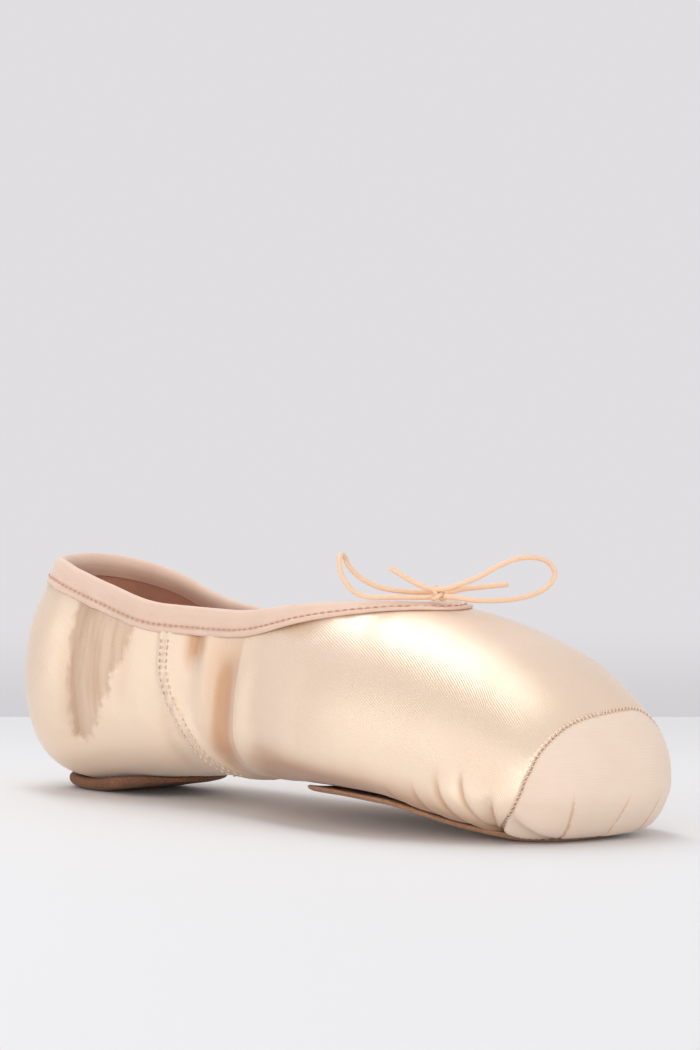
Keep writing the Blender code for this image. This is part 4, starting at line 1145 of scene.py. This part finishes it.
def make_seam_stitches(material):
    """Sew the side seams: a row of stitches on each half of the raised fold, on both sides."""
    groups = []
    for side in (NEAR, FAR):
        for shift in SEAM_ROWS:
            run, angle, points = seam_path(side, shift)
            out = outward_at(run, angle, np.full(len(run), side))
            relief = satin_relief(points, side)
            line = points + out * (relief[:, None] + ON_CLOTH)
            groups.append(places_along(line, out, SEAM_PITCH * sizes().stitch_pitch, SEAM_STITCH))
    starts, ends, way = (np.concatenate([g[k] for g in groups]) for k in range(3))
    return sew("seam_stitches", starts, ends, way, material, SEAM_THREAD)


def make_patch_stitches(material):
    """Whip the patch's edge down: slanted stitches across it all round."""
    starts, ends, ways = [], [], []
    for side in (NEAR, FAR):
        angle = np.linspace(np.radians(WHIP_ANGLE), np.pi / 2 - 0.02, 400)
        edge = patch_run(angle, side)
        points = form(edge, angle, side)
        length = np.concatenate([[0.0], np.cumsum(np.linalg.norm(np.diff(points, axis=0), axis=1))])
        at = np.arange(WHIP_LEAN, length[-1], WHIP_PITCH)
        where = np.interp(at, length, angle)
        lean = np.interp(at + WHIP_LEAN, length, angle)
        starts.append(form(patch_run(where, side, -WHIP_OUT), where, side, -WHIP_LIFT))
        ends.append(form(patch_run(lean, side, WHIP_IN), lean, side, -WHIP_LIFT))
        ways.append(outward_at(patch_run(where, side), where, np.full(len(where), side)))
    return sew("patch_stitches", np.concatenate(starts), np.concatenate(ends), np.concatenate(ways),
               material, WHIP_THREAD)


def make_sheet(name, runs, reach, top, thick, shape_bottom, material, node, blunt=SOLE_BLUNT):
    """Make a sole or insole under the form, out to each rib's reach.

    Its edge is rounded: the thickness follows a flattened quarter ellipse towards the edge, the blunter
    the higher its power.
    """
    sheet = Patchwork()
    share = np.sin(np.linspace(0.0, np.pi / 2, SHEET_COLUMNS))
    profile = np.sqrt(np.maximum(1.0 - share ** blunt, 0.0))
    for side in (NEAR, FAR):
        grids = []
        for inset, ease in ((top, 0.0), (top - thick, EDGE_EASE)):
            edge = spread_angle(runs, np.maximum(reach - ease, 0.0), inset)
            angle = -np.pi / 2 + (edge + np.pi / 2)[:, None] * share
            grids.append(form(np.broadcast_to(runs[:, None], angle.shape), angle, side,
                              np.reshape(inset, (-1, 1)) + np.zeros(angle.shape)))
        upper, lower = grids
        lower = shape_bottom(lower)
        middle = 0.45 * upper + 0.55 * lower
        lower = middle + (lower - middle) * profile[None, :, None]
        upper = middle + (upper - middle) * profile[None, :, None]
        u, v = cloth_marks(upper)
        rim = np.broadcast_to(share[None], u.shape)
        a = sheet.grid(upper, u=u, v=side * v, rim=rim)
        b = sheet.grid(lower, u=u, v=side * v, rim=rim)
        sheet.edge(a[:, -1], b[:, -1])
    piece = sheet.make(name, material)
    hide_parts(node)
    return piece


def on_floor(points):
    """Flatten what would reach below the floor."""
    points = points.copy()
    points[..., 2] = np.maximum(points[..., 2], FLOOR_CLEAR)
    return points


def pad_underside(points):
    """Lay the heel pad flat on the floor at the back, and lift it towards the arch."""
    points = points.copy()
    share = (points[..., 0] + LENGTH / 2) / PAD_FRONT
    points[..., 2] = smooth(LIFT_EDGE["station"], LIFT_EDGE["height"], share) + FLOOR_CLEAR
    return points


def make_insole(material):
    """Make the insole board on the cloth turned in under the foot."""
    heel = np.linspace(-1.0, 0.0, INSOLE_ROWS[0], endpoint=False)
    runs = np.concatenate([heel, run_at(np.linspace(HEEL_REACH, INSOLE_FRONT, INSOLE_ROWS[1]))])
    wall = wall_at(runs)
    _, foot, half = rib(runs, wall)[:3]
    reach = INSOLE_SPREAD * half * rounded(foot, -LENGTH, INSOLE_FRONT)
    return make_sheet("insole_board", runs, reach, wall + 2 * GAP + INSOLE_THICK, INSOLE_THICK,
                      lambda points: points, material, "insole")


def make_forefoot_sole(material):
    """Make the forefoot's leather, flat on the floor where the form comes down to it."""
    turn = np.linspace(0.0, np.pi, SOLE_ROWS)
    runs = run_at(SOLE_REAR + (SOLE_FRONT - SOLE_REAR) * (1.0 - np.cos(turn)) / 2.0)
    foot = rib(runs)[1]
    top = -GAP - SOLE_STAND_OFF * fade(foot, SOLE_CLOSE, SOLE_FRONT)
    reach = np.maximum(sole_reach(runs) - SOLE_WORN * ramp(foot, *SOLE_WORN_OVER), 0.0)
    return make_sheet("forefoot_leather", runs, reach, top, SOLE_THICK + GAP + top,
                      on_floor, material, "sole_forefoot")


def make_heel_pad(material):
    """Make the heel's suede pad."""
    heel = np.linspace(-1.0, 0.0, PAD_ROWS[0], endpoint=False)
    front = np.sin(np.linspace(0.0, np.pi / 2, PAD_ROWS[1]))
    runs = np.concatenate([heel, run_at(HEEL_REACH + (PAD_FRONT - HEEL_REACH) * front)])
    return make_sheet("heel_suede", runs, pad_reach(runs) - PAD_EASE, np.full(len(runs), -GAP / 2), PAD_THICK,
                      pad_underside, material, "sole_heel", PAD_BLUNT)


def knot_middle():
    """Give the middle of the drawstring's knot, on the front of the binding at the throat."""
    return form(float(run_at(THROAT_AT)), np.pi / 2, NEAR) + np.array(KNOT_PLACE)


def curved_route(route, step):
    """Read points a step apart from a cubic curve through a route's points."""
    route = np.array(route, float)
    ends = np.concatenate([[2 * route[0] - route[1]], route, [2 * route[-1] - route[-2]]])
    t = np.linspace(0.0, 1.0, 24, endpoint=False)[:, None]
    dense = []
    for a, b, c, d in zip(ends[:-3], ends[1:-2], ends[2:-1], ends[3:]):
        dense.append(b + 0.5 * t * (c - a) + t ** 2 * (a - 2.5 * b + 2 * c - 0.5 * d)
                     + t ** 3 * (1.5 * b - 0.5 * a - 1.5 * c + 0.5 * d))
    dense = np.concatenate(dense + [route[-1:]])
    for _ in range(30):
        dense[1:-1] = 0.25 * dense[:-2] + 0.5 * dense[1:-1] + 0.25 * dense[2:]
    length = np.concatenate([[0.0], np.cumsum(np.linalg.norm(np.diff(dense, axis=0), axis=1))])
    at = np.linspace(0.0, length[-1], int(round(length[-1] / step)) + 1)
    return np.stack([np.interp(at, length, dense[:, k]) for k in range(3)], -1)


def carry(path, radius, sides, closed=False):
    """Carry a circle along a path: a frame square to the path at each point, set against one fixed upright
    way.
    """
    if closed:
        along = np.roll(path, -1, 0) - np.roll(path, 1, 0)
    else:
        along = np.gradient(path, axis=0)
    along /= np.linalg.norm(along, axis=1, keepdims=True)
    up = np.tile([0.35, -0.2, 0.92], (len(path), 1))
    first = np.cross(along, up)
    first /= np.linalg.norm(first, axis=1, keepdims=True)
    second = np.cross(along, first)
    turn = np.linspace(0.0, 2 * np.pi, sides + 1)
    ring = first[:, None] * np.cos(turn)[None, :, None] + second[:, None] * np.sin(turn)[None, :, None]
    return path[:, None] + ring * np.broadcast_to(radius, len(path))[:, None, None], turn


def make_strand(name, material, nodes):
    cord = sizes().cord
    route = knot_middle() + np.array(STRANDS[name])
    path = curved_route(route, CORD_STEP)
    length = np.concatenate([[0.0], np.cumsum(np.linalg.norm(np.diff(path, axis=0), axis=1))])
    from_end = np.minimum(length, length[-1] - length)
    inner = (1.0 - from_end / (CORD_END * cord)).clip(0.0, 1.0)
    points, turn = carry(path, cord / 2 * np.sqrt(np.clip(1.0 - inner ** 2, 0.0004, 1.0)), CORD_SIDES)
    tube = Patchwork()
    u = np.broadcast_to(length[:, None], points.shape[:2])
    v = np.broadcast_to((turn * cord / 2)[None, :], points.shape[:2])
    grid = tube.grid(points, u=u, v=v)
    for row in (0, -1):
        tip = tube.grid(np.broadcast_to(path[row], (1, points.shape[1], 3)), u=u[row:][:1], v=v[:1])
        tube.join(np.stack([grid[row], tip[0]]))
    piece = tube.make(name, material)
    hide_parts(*nodes)
    return piece


def make_knot(material):
    """Make the knot as a trefoil of cord, its three lobes worked out from sines of the angle round it."""
    cord = sizes().cord
    t = np.linspace(0.0, 2 * np.pi, KNOT_ROWS, endpoint=False)
    lobes = np.stack([np.sin(t) + 2 * np.sin(2 * t), np.cos(t) - 2 * np.cos(2 * t),
                      -KNOT_DEEP * np.sin(3 * t)], -1)
    path = knot_middle() + (KNOT_RADIUS + KNOT_SPREAD * cord) / 3.0 * lobes @ np.array(KNOT_LEAN)
    points, turn = carry(path, KNOT_CORD * cord, KNOT_SIDES, closed=True)
    path = np.concatenate([path, path[:1]])
    points = np.concatenate([points, points[:1]])
    length = np.concatenate([[0.0], np.cumsum(np.linalg.norm(np.diff(path, axis=0), axis=1))])
    tube = Patchwork()
    tube.grid(points, u=np.broadcast_to(length[:, None], points.shape[:2]),
              v=np.broadcast_to((turn * cord / 2)[None], points.shape[:2]))
    piece = tube.make("drawstring_knot", material)
    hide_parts("cord_knot")
    return piece


# Materials

class Wire:
    """A value in a material's nodes, worked on with ordinary operators, each of which adds a Math node."""

    def __init__(self, tree, socket):
        self.tree, self.socket = tree, socket

    def node(self, kind, settings=None, inputs=None, output=0):
        """Add any other node: its settings first, then the values or links of its sockets."""
        node = self.tree.nodes.new(kind)
        for name, value in (settings or {}).items():
            if name == "stops":
                for element, (place, colour) in zip(node.color_ramp.elements, value):
                    element.position, element.color = place, colour
            else:
                setattr(node, name, value)
        for key, value in (inputs or {}).items():
            if isinstance(value, Wire):
                self.tree.links.new(value.socket, node.inputs[key])
            else:
                node.inputs[key].default_value = value
        return Wire(self.tree, node.outputs[output])

    def math(self, operation, *values):
        return self.node("ShaderNodeMath", {"operation": operation}, dict(enumerate(values)))

    def __add__(self, other):
        return self.math("ADD", self, other)

    def __radd__(self, other):
        return self.math("ADD", other, self)

    def __sub__(self, other):
        return self.math("SUBTRACT", self, other)

    def __rsub__(self, other):
        return self.math("SUBTRACT", other, self)

    def __mul__(self, other):
        return self.math("MULTIPLY", self, other)

    def __rmul__(self, other):
        return self.math("MULTIPLY", other, self)

    def step(self, low, high, start=0.0, end=1.0):
        """Go smoothly from start to end as the value goes from low to high."""
        return self.node("ShaderNodeMapRange", {"interpolation_type": "SMOOTHSTEP"},
                         {0: self, 1: low, 2: high, 3: start, 4: end})

    def sine(self):
        return self.math("SINE", self)

    def noise(self, scale, detail=2.0, rough=0.5):
        """Read noise at this place."""
        return self.node("ShaderNodeTexNoise", {}, {"Vector": self, "Scale": scale, "Detail": detail,
                                                    "Roughness": rough})

    def part(self, name):
        """Take X, Y or Z of a place."""
        return self.node("ShaderNodeSeparateXYZ", {}, {0: self}, output="XYZ".index(name))

    def stretch(self, *by):
        """Scale a place along each axis."""
        return self.node("ShaderNodeVectorMath", {"operation": "MULTIPLY"}, {0: self, 1: by})

    def blend(self, first, second):
        """Mix two colours, by this value from 0 to 1."""
        def full(c):
            return c if isinstance(c, Wire) else (*c, 1.0)
        return self.node("ShaderNodeMix", {"data_type": "RGBA"}, {0: self, 6: full(first), 7: full(second)},
                         output=2)


def new_material(name):
    """Start a material: its shader, and a wire to start from for places and attributes."""
    material = bpy.data.materials.new(name)
    material.use_nodes = True
    tree = material.node_tree
    shader = tree.nodes["Principled BSDF"]
    start = Wire(tree, None)
    return material, shader, start


def place(start):
    """Give the place on the piece, in metres."""
    return start.node("ShaderNodeTexCoord", {}, {}, output=3)


def cloth_place(start):
    """Give the place on the cloth, in metres along it and around it."""
    return start.node("ShaderNodeUVMap", {"uv_map": "cloth"}, {})


def mark(start, name):
    """Read one of the mesh's named values."""
    return start.node("ShaderNodeAttribute", {"attribute_name": name}, {}, output=2)


def finish_material(shader, colour, rough, height=None, distance=0.0, **constants):
    """Set the shader: varying colour, roughness and bump, and constants on its own sockets."""
    tree = colour.tree
    tree.links.new(colour.socket, shader.inputs["Base Color"])
    if isinstance(rough, Wire):
        tree.links.new(rough.socket, shader.inputs["Roughness"])
    else:
        shader.inputs["Roughness"].default_value = rough
    if height is not None:
        bump = colour.node("ShaderNodeBump", {}, {"Height": height, "Distance": distance, "Strength": 1.0})
        tree.links.new(bump.socket, shader.inputs["Normal"])
    for name, value in constants.items():
        shader.inputs[name.replace("_", " ")].default_value = value


def satin_material():
    """Satin: fine slanted ribs, a broad soft gloss, a painted dark reflection in long streaks at the heel,
    and painted shade.
    """
    material, shader, start = new_material("satin")
    uv = cloth_place(start)
    where = place(start)
    along, around = uv.part("X"), uv.part("Y")
    ribs = ((along * 0.42 + around) * (2 * np.pi / sizes().twill)).sine()
    threads = uv.stretch(900.0, 4200.0, 1.0).noise(1.0, 2.0, 0.6)
    slubs = uv.stretch(60.0, 420.0, 1.0).noise(1.0, 3.0, 0.6)
    clouds = where.noise(48.0, 4.0, 0.6)
    x, z = where.part("X") + LENGTH / 2, where.part("Z")
    ragged = where.noise(230.0, 4.0, 0.7) - 0.5
    streaks = where.stretch(230.0, 40.0, 26.0).noise(1.0, 3.0, 0.6)
    near_side = where.part("Y").step(*MARK_SIDE)
    # Painted dark reflection at the heel, in long upright streaks with a ragged edge; the satin there is also
    # rougher
    rear = (x + ragged * 0.005).step(*REFLECTION_REAR)
    front = (x - z * REFLECTION_LEAN + ragged * 0.012).step(*REFLECTION_FRONT, 1.0, 0.0)
    low = (z + ragged * 0.010).step(*REFLECTION_LOW)
    first = (x + ragged * 0.004).step(*REFLECTION_FIRST, 1.0, 0.0)
    dark_reflection = rear * front * low * (first * 0.25 + streaks.step(0.40, 0.64) * 0.30 + 0.50) * near_side
    # Painted shade in the troughs of the waist's folds
    waist_fold_shade = (x + z * WAIST_SHADE_LEAN).step(*WAIST_SHADE_REAR) * (x + ragged * 0.002).step(*WAIST_SHADE_FRONT)
    waist_fold_shade = waist_fold_shade * (z + ragged * 0.010).step(*WAIST_SHADE_LOW) * z.step(*WAIST_SHADE_HIGH)
    fold_trough_shade = x.step(*FOLD_TROUGH_REAR) * x.step(*FOLD_TROUGH_FRONT) * (z + ragged * 0.010).step(*FOLD_TROUGH_LOW)
    # Painted shade in the troughs of the folds, the tucks' creases and the side seam's cut
    crease = mark(start, "relief").step(-0.08, -0.80)
    # Painted shade where the satin turns under the shoe
    painted_under_shade = mark(start, "under")
    shade = (waist_fold_shade * 0.50 + fold_trough_shade * 0.80) * near_side + crease * 0.56 + painted_under_shade * 0.95
    shade = shade + clouds.step(0.40, 0.75) * 0.08 + ribs.step(0.2, -0.9) * 0.13
    colour = shade.math("MINIMUM", shade, 1.0).blend(tuple(colours().satin), tuple(colours().satin_dark))
    colour = dark_reflection.blend(colour, tuple(colours().satin_dark_reflection))
    rough = 0.29 + slubs * 0.09 + dark_reflection * 0.20 + threads * 0.05
    height = ribs * 0.33 + threads * 0.40 + slubs * 0.25
    finish_material(shader, colour, rough, height, 0.00005, Metallic=0.46, Specular_IOR_Level=0.65,
                    Sheen_Weight=0.22, Sheen_Roughness=0.35, Coat_Weight=0.15, Coat_Roughness=0.34)
    return material


def patch_material():
    """The patch's duller satin: the same weave turned across, with painted shade in its pleats' creases and
    along its edge's dip.
    """
    material, shader, start = new_material("patch_satin")
    uv = cloth_place(start)
    where = place(start)
    ribs = (where.part("Z") * (2 * np.pi / (1.15 * sizes().twill))).sine()
    threads = where.stretch(500.0, 700.0, 3600.0).noise(1.0, 2.0, 0.6)
    clouds = where.noise(60.0, 4.0, 0.6)
    # Painted shade in the pleats' creases and along the dip at the patch's edge
    crease = mark(start, "relief").step(-0.02, -0.40)
    shade = crease * 0.55 + clouds.step(0.35, 0.75) * 0.10
    colour = shade.blend(tuple(colours().patch), tuple(colours().satin_dark))
    rough = 0.52 + clouds * 0.10 + threads * 0.05
    height = ribs * 0.25 + threads * 0.6 + uv.stretch(900.0, 900.0, 1.0).noise(1.0, 2.0) * 0.3
    finish_material(shader, colour, rough, height, 0.000035, Specular_IOR_Level=0.45, Sheen_Weight=0.25,
                    Sheen_Roughness=0.45)
    return material


def woven_material(name, base, dark, pitch, depth, rough, **constants):
    """A plain woven cloth: threads over and under, with slightly uneven colour."""
    material, shader, start = new_material(name)
    uv = cloth_place(start)
    over = (uv.part("X") * (2 * np.pi / pitch)).sine()
    under = (uv.part("Y") * (2 * np.pi / pitch)).sine()
    weave = over * under
    fuzz = uv.stretch(2600.0, 2600.0, 1.0).noise(1.0, 3.0, 0.6)
    clouds = place(start).noise(85.0, 4.0, 0.6)
    shade = clouds.step(0.35, 0.70) * 0.22 + fuzz.step(0.3, 0.8) * 0.12
    colour = shade.blend(base, dark)
    finish_material(shader, colour, rough + clouds * 0.08, weave * 0.5 + fuzz * 0.7, depth, **constants)
    return material


def leather_material(name, base, dark, nap, rough, edge=None):
    """Split leather: fibres and pores, with a darker rim."""
    material, shader, start = new_material(name)
    where = place(start)
    fibre = where.stretch(1.0, 1.0, 1.6).noise(nap, 5.0, 0.7)
    pores = where.noise(nap * 3.1, 3.0, 0.6)
    clouds = where.noise(70.0, 4.0, 0.6)
    shade = fibre.step(0.30, 0.70) * 0.55 + clouds.step(0.3, 0.7) * 0.35
    if edge:
        shade = shade + mark(start, "rim").step(0.985, 1.0) * edge
    colour = shade.math("MINIMUM", shade, 1.0).blend(base, dark)
    finish_material(shader, colour, rough + pores * 0.15, fibre * 0.7 + pores * 0.5, 0.00022,
                    Specular_IOR_Level=0.25, Sheen_Weight=0.06, Sheen_Roughness=0.6)
    return material


def elastic_material():
    """Braided elastic: two sets of strands crossing round the cord."""
    material, shader, start = new_material("elastic")
    uv = cloth_place(start)
    along, around = uv.part("X"), uv.part("Y")
    turns = 2 * np.pi / BRAID_PITCH
    braid = ((along + around * 1.5) * turns).sine() * ((along - around * 1.5) * turns).sine()
    fuzz = uv.stretch(5000.0, 5000.0, 1.0).noise(1.0, 2.0)
    colour = braid.step(-0.2, -1.0, 0.0, 0.45).blend(tuple(colours().elastic), tuple(
        0.72 * c for c in colours().elastic))
    finish_material(shader, colour, 0.55 + fuzz * 0.1, braid * 0.7 + fuzz * 0.4, 0.00005,
                    Specular_IOR_Level=0.4, Sheen_Weight=0.2)
    return material


def thread_material(name, base):
    """Sewing thread: two plies twisted together."""
    material, shader, start = new_material(name)
    where = place(start)
    slant = where.part("X") + where.part("Z") * 1.3 + where.part("Y") * 0.7
    ply = (slant * (2 * np.pi / PLY_PITCH)).sine()
    colour = ply.step(0.0, -1.0, 0.0, 0.5).blend(base, tuple(0.7 * c for c in base))
    finish_material(shader, colour, 0.5 + ply * 0.05, ply, 0.00003, Specular_IOR_Level=0.5)
    return material


def stage_material(name, base, rough):
    """Plain matt floor, with painted shade darkening it a little towards its rear edge."""
    material, shader, start = new_material(name)
    where = place(start)
    right = camera_way()[1]
    near = where.part("X") * float(right[1]) - where.part("Y") * float(right[0])
    colour = near.step(-FLOOR_BEHIND, FAR_FLOOR_TO).blend(tuple(FAR_FLOOR * c for c in base), base)
    finish_material(shader, colour, rough, Specular_IOR_Level=0.2)
    return material


# Camera and stage

def camera_way():
    """Give the way from the target back to the camera, and the way to the right of the picture."""
    az, el = np.radians(CAMERA_AZIMUTH), np.radians(CAMERA_ELEVATION)
    back = np.array([np.sin(az) * np.cos(el), -np.cos(az) * np.cos(el), np.sin(el)])
    return back, np.array([np.cos(az), np.sin(az), 0.0])


def make_camera():
    """Set the camera up at the photograph's angle."""
    data = bpy.data.cameras.new("camera")
    data.lens = CAMERA_LENS
    data.sensor_fit = "AUTO"
    data.sensor_width = 36.0
    data.clip_end = 50.0
    camera = bpy.data.objects.new("camera", data)
    bpy.context.scene.collection.objects.link(camera)
    back, _ = camera_way()
    camera.location = Vector(np.array(CAMERA_TARGET) + CAMERA_DISTANCE * back)
    camera.rotation_euler = Vector(back).to_track_quat("Z", "Y").to_euler()
    bpy.context.scene.camera = camera
    return camera


def make_floor(material):
    """Make the floor as a flat sheet with a straight edge behind the shoe, square to the camera."""
    _, right = camera_way()
    front = np.array([right[1], -right[0], 0.0])
    corners = [(-FLOOR_HALF, -FLOOR_BEHIND), (-FLOOR_HALF, FLOOR_BEFORE),
               (FLOOR_HALF, FLOOR_BEFORE), (FLOOR_HALF, -FLOOR_BEHIND)]
    target = np.array([CAMERA_TARGET[0], CAMERA_TARGET[1], 0.0])
    points = [target + a * right + b * front for a, b in corners]
    mesh = bpy.data.meshes.new("floor")
    mesh.from_pydata([tuple(p) for p in points], [], [(0, 1, 2, 3)])
    mesh.materials.append(material)
    floor = bpy.data.objects.new("floor", mesh)
    bpy.context.scene.collection.objects.link(floor)
    return floor


def make_lights():
    """Set up the softboxes, each aimed at the shoe, and an even pale surround."""
    _, right = camera_way()
    front = np.array([right[1], -right[0], 0.0])
    middle = np.array(LIGHTS_AIM)
    for row in LIGHTS:
        light = dict(zip(LIGHT_COLUMNS, row))
        data = bpy.data.lights.new(light["name"], "AREA")
        data.shape = "RECTANGLE"
        data.size, data.size_y, data.energy = light["wide"], light["tall"], light["power"]
        lamp = bpy.data.objects.new(light["name"], data)
        bpy.context.scene.collection.objects.link(lamp)
        spot = middle + light["right"] * right + light["front"] * front + np.array([0, 0, light["above"]])
        lamp.location = Vector(spot)
        lamp.rotation_euler = Vector(spot - middle).to_track_quat("Z", "Y").to_euler()
    world = bpy.data.worlds.new("surround")
    world.use_nodes = True
    tree = world.node_tree
    seen = tree.nodes["Background"]
    way = Wire(tree, tree.nodes.new("ShaderNodeTexCoord").outputs["Generated"])
    # The backdrop as the camera sees it, with painted shade at the horizon
    low = tuple(HORIZON_SHADE * c for c in colours().wall)
    backdrop = way.part("Z").step(*HORIZON).blend(low, tuple(colours().wall))
    tree.links.new(backdrop.socket, seen.inputs["Color"])
    glow = tree.nodes.new("ShaderNodeBackground")
    glow.inputs["Color"].default_value = (*colours().wall, 1.0)
    glow.inputs["Strength"].default_value = SURROUND
    either = tree.nodes.new("ShaderNodeMixShader")
    tree.links.new(tree.nodes.new("ShaderNodeLightPath").outputs["Is Camera Ray"], either.inputs[0])
    tree.links.new(glow.outputs[0], either.inputs[1])
    tree.links.new(seen.outputs[0], either.inputs[2])
    tree.links.new(either.outputs[0], tree.nodes["World Output"].inputs["Surface"])
    bpy.context.scene.world = world
    bpy.context.scene.view_settings.view_transform = "Standard"


# Operators and panel

class SHOE_OT_camera(bpy.types.Operator):
    """Set the camera at the photograph's angle"""
    bl_idname = "shoe.camera"
    bl_label = "Camera"

    def execute(self, context):
        make_camera()
        return {"FINISHED"}


class SHOE_OT_drawstring(bpy.types.Operator):
    """Make the drawstring's knot and its two strands"""
    bl_idname = "shoe.drawstring"
    bl_label = "Drawstring"

    def execute(self, context):
        elastic = elastic_material()
        knot = make_knot(elastic)
        make_strand("drawstring_near", elastic, ("cord_loop_near", "cord_end_far"))
        make_strand("drawstring_far", elastic, ("cord_loop_far", "cord_end_near"))
        return {"FINISHED"}


class SHOE_OT_upper(bpy.types.Operator):
    """Make the satin upper and its lining"""
    bl_idname = "shoe.upper"
    bl_label = "Upper"

    def execute(self, context):
        make_satin(satin_material())
        shade = tuple(0.62 * c for c in colours().lining)
        make_lining(woven_material("cotton_lining", tuple(colours().lining), shade, 0.0008, 0.0001, 0.8,
                                   Specular_IOR_Level=0.25, Sheen_Weight=0.2))
        return {"FINISHED"}


class SHOE_OT_patch(bpy.types.Operator):
    """Make the pleated patch over the platform"""
    bl_idname = "shoe.patch"
    bl_label = "Platform patch"

    def execute(self, context):
        make_patch(patch_material())
        return {"FINISHED"}


class SHOE_OT_tape(bpy.types.Operator):
    """Make the folded tape round the collar"""
    bl_idname = "shoe.tape"
    bl_label = "Collar tape"

    def execute(self, context):
        shade = tuple(0.78 * c for c in colours().tape)
        make_tape(woven_material("tape", tuple(colours().tape), shade, 0.00045, 0.00004, 0.52,
                                 Specular_IOR_Level=0.4, Sheen_Weight=0.35, Sheen_Roughness=0.4))
        return {"FINISHED"}


class SHOE_OT_stitches(bpy.types.Operator):
    """Sew the tape, the side seams and the patch"""
    bl_idname = "shoe.stitches"
    bl_label = "Stitches"

    def execute(self, context):
        make_collar_stitches(thread_material("tape_thread", tuple(colours().tape_thread)))
        thread = thread_material("thread", tuple(colours().thread))
        make_seam_stitches(thread)
        make_patch_stitches(thread)
        return {"FINISHED"}


class SHOE_OT_soles(bpy.types.Operator):
    """Make the insole, the forefoot leather and the heel's suede pad"""
    bl_idname = "shoe.soles"
    bl_label = "Insole and soles"

    def execute(self, context):
        base = tuple(0.9 * c for c in colours().lining)
        make_insole(woven_material("insole_cloth", base, tuple(0.6 * c for c in base), 0.0009, 0.0001, 0.85))
        tan, brown = tuple(colours().leather), tuple(colours().suede)
        dark_tan, dark_brown = tuple(0.5 * c for c in tan), tuple(0.35 * c for c in brown)
        make_forefoot_sole(leather_material("sole_leather", tan, dark_tan, 900.0, 0.62, 0.25))
        make_heel_pad(leather_material("pad_suede", brown, dark_brown, 1100.0, 0.8))
        return {"FINISHED"}


class SHOE_OT_stage(bpy.types.Operator):
    """Make the floor and the soft lights"""
    bl_idname = "shoe.stage"
    bl_label = "Floor and lights"

    def execute(self, context):
        make_floor(stage_material("floor", tuple(colours().floor), 0.6))
        make_lights()
        return {"FINISHED"}


OPERATORS = (SHOE_OT_camera, SHOE_OT_drawstring, SHOE_OT_upper, SHOE_OT_patch, SHOE_OT_tape,
             SHOE_OT_stitches, SHOE_OT_soles, SHOE_OT_stage)


class SHOE_PT_panel(bpy.types.Panel):
    """Lists the shoe's pieces, sizes and colours"""
    bl_idname = "SHOE_PT_panel"
    bl_label = "Satin toe shoe"
    bl_space_type = "VIEW_3D"
    bl_region_type = "UI"
    bl_category = "Shoe"

    def draw(self, context):
        for operator in OPERATORS:
            self.layout.operator(operator.bl_idname)
        for group in (context.scene.shoe_sizes, context.scene.shoe_colours):
            for name in group.__annotations__:
                self.layout.prop(group, name)


CLASSES = (ShoeSizes, ShoeColours, *OPERATORS, SHOE_PT_panel)


def register():
    for cls in CLASSES:
        bpy.utils.register_class(cls)
    bpy.types.Scene.shoe_sizes = bpy.props.PointerProperty(type=ShoeSizes)
    bpy.types.Scene.shoe_colours = bpy.props.PointerProperty(type=ShoeColours)


def unregister():
    del bpy.types.Scene.shoe_colours
    del bpy.types.Scene.shoe_sizes
    for cls in reversed(CLASSES):
        bpy.utils.unregister_class(cls)


def main():
    register()
    for operator in OPERATORS:
        group, name = operator.bl_idname.split(".")
        getattr(getattr(bpy.ops, group), name)()


if __name__ == "__main__":
    main()
